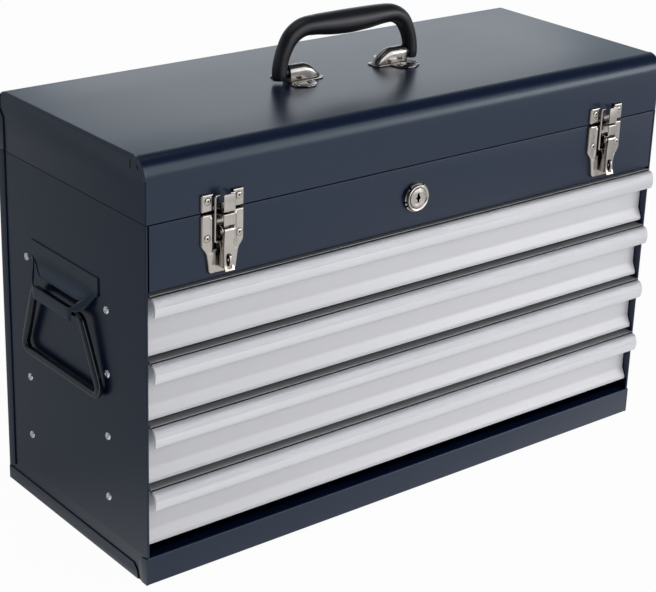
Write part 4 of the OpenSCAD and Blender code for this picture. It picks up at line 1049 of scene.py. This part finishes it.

# floor in millimetres, the painted pool of light as (near, far, bright, dim) in metres, lamps as (spot, aim, size,
# power) in metres
studio = {"floor": 12000.0, "paper": (0.82, 0.82, 0.82), "paperRough": 0.9, "white": 0.97,
          "paintedPool": (0.50, 0.72, 0.85, 0.12),
          "paintedPoolSpot": (0.0, -0.55, 0.0), "low": 0.64, "high": 0.09, "lift": (0.0, -0.40, 1.0), "edge": (0.05, 0.55),
          "tint": (0.78, 0.90, 1.0)}
lamps = {"frontLamp": ((0.8, -2.65, 1.2), (0, 0, 0.15), (3.4, 2.5), 51.0),
         "rightLamp": ((2.5, -1.9, 0.75), (0.3, -0.3, 0.1), (1.4, 1.1), 19.0),
         "topLamp": ((-0.3, 0.4, 2.8), (0, 0, 0.2), (2.4, 2.0), 10.0),
         "backLamp": ((1.72, 2.28, 1.1), (0, 0, 0.35), (1.4, 0.6), 2.7)}


def makeFloor(c):                     # shows white to the camera, keeps part of the shadow, and carries a painted pool of light round the box in reflections
    h = c["floor"]
    item = newItem("studioFloor", [(-h, -h, 0), (h, -h, 0), (h, h, 0), (-h, h, 0)], [(0, 1, 2, 3)])
    m = bpy.data.materials.new("studioPaper")
    m.use_nodes = True
    tree = m.node_tree
    link = tree.links.new
    paper = tree.nodes["Principled BSDF"]
    paper.inputs["Base Color"].default_value = (*c["paper"], 1)
    paper.inputs["Roughness"].default_value = c["paperRough"]
    white = addNode(tree, "ShaderNodeEmission", Strength=1.0)
    path, coords, mix = (addNode(tree, kind) for kind in ("ShaderNodeLightPath", "ShaderNodeTexCoord",
                                                          "ShaderNodeMixShader"))
    share, gloss = (addNode(tree, "ShaderNodeMath") for k in range(2))
    share.operation = gloss.operation = "MULTIPLY_ADD"
    share.inputs[1].default_value, gloss.inputs[2].default_value = c["white"], 0.0
    reach = addNode(tree, "ShaderNodeVectorMath")
    reach.operation = "DISTANCE"
    reach.inputs[1].default_value = c["paintedPoolSpot"]
    near, far, bright, dim = c["paintedPool"]
    paintedPool = addRange(tree, bright, dim, near, far)      # painted pool of light: paper close to the box glows brightest in reflections
    link(coords.outputs["Object"], reach.inputs[0])
    link(reach.outputs["Value"], paintedPool.inputs["Value"])
    link(paintedPool.outputs[0], gloss.inputs[1])
    link(path.outputs["Is Glossy Ray"], gloss.inputs[0])
    link(path.outputs["Is Camera Ray"], share.inputs[0])
    link(gloss.outputs[0], share.inputs[2])
    link(share.outputs[0], mix.inputs["Fac"])
    link(paper.outputs[0], mix.inputs[1])
    link(white.outputs[0], mix.inputs[2])
    link(mix.outputs[0], tree.nodes["Material Output"].inputs["Surface"])
    item.data.materials.append(m)
    item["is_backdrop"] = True


def makeLamp(name, spot, aim, size, power):
    data = bpy.data.lights.new(name, "AREA")
    data.shape = "RECTANGLE"
    data.size, data.size_y = size
    data.energy = power
    item = addItem(name, data)
    turn = (Vector(aim) - Vector(spot)).to_track_quat("-Z", "Y").to_matrix().to_4x4()
    item.matrix_world = Matrix.Translation(Vector(spot)) @ turn
    item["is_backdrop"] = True


def makeWorld(c):                     # pale low down, dimmer overhead, and white to the camera
    world = bpy.data.worlds.new("studio")
    scene.world = world
    world.use_nodes = True
    tree = world.node_tree
    tree.nodes.clear()
    link = tree.links.new
    coords, path, mix, out = (addNode(tree, "ShaderNode" + kind)
                              for kind in ("TexCoord", "LightPath", "MixShader", "OutputWorld"))
    lift = addNode(tree, "ShaderNodeVectorMath")       # how far a direction is above the backdrop's pale part
    lift.operation = "DOT_PRODUCT"
    lift.inputs[1].default_value = c["lift"]
    fade = addRange(tree, c["low"], c["high"], *c["edge"])
    fade.interpolation_type = "SMOOTHSTEP"
    soft = addNode(tree, "ShaderNodeBackground", Color=(*c["tint"], 1))
    white = addNode(tree, "ShaderNodeBackground", Color=(1, 1, 1, 1), Strength=1.0)
    link(coords.outputs["Generated"], lift.inputs[0])
    link(lift.outputs["Value"], fade.inputs["Value"])
    link(fade.outputs[0], soft.inputs["Strength"])
    link(path.outputs["Is Camera Ray"], mix.inputs["Fac"])
    link(soft.outputs[0], mix.inputs[1])
    link(white.outputs[0], mix.inputs[2])
    link(mix.outputs[0], out.inputs["Surface"])


makeFloor(studio)
for name, (spot, aim, size, power) in lamps.items():
    makeLamp(name, spot, aim, size, power)
makeWorld(studio)
print("stage: light")

({"start": [list(v) if hasattr(v, "__len__") else v for v in startSize],
           "end": [list(v) if hasattr(v, "__len__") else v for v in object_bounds()]})
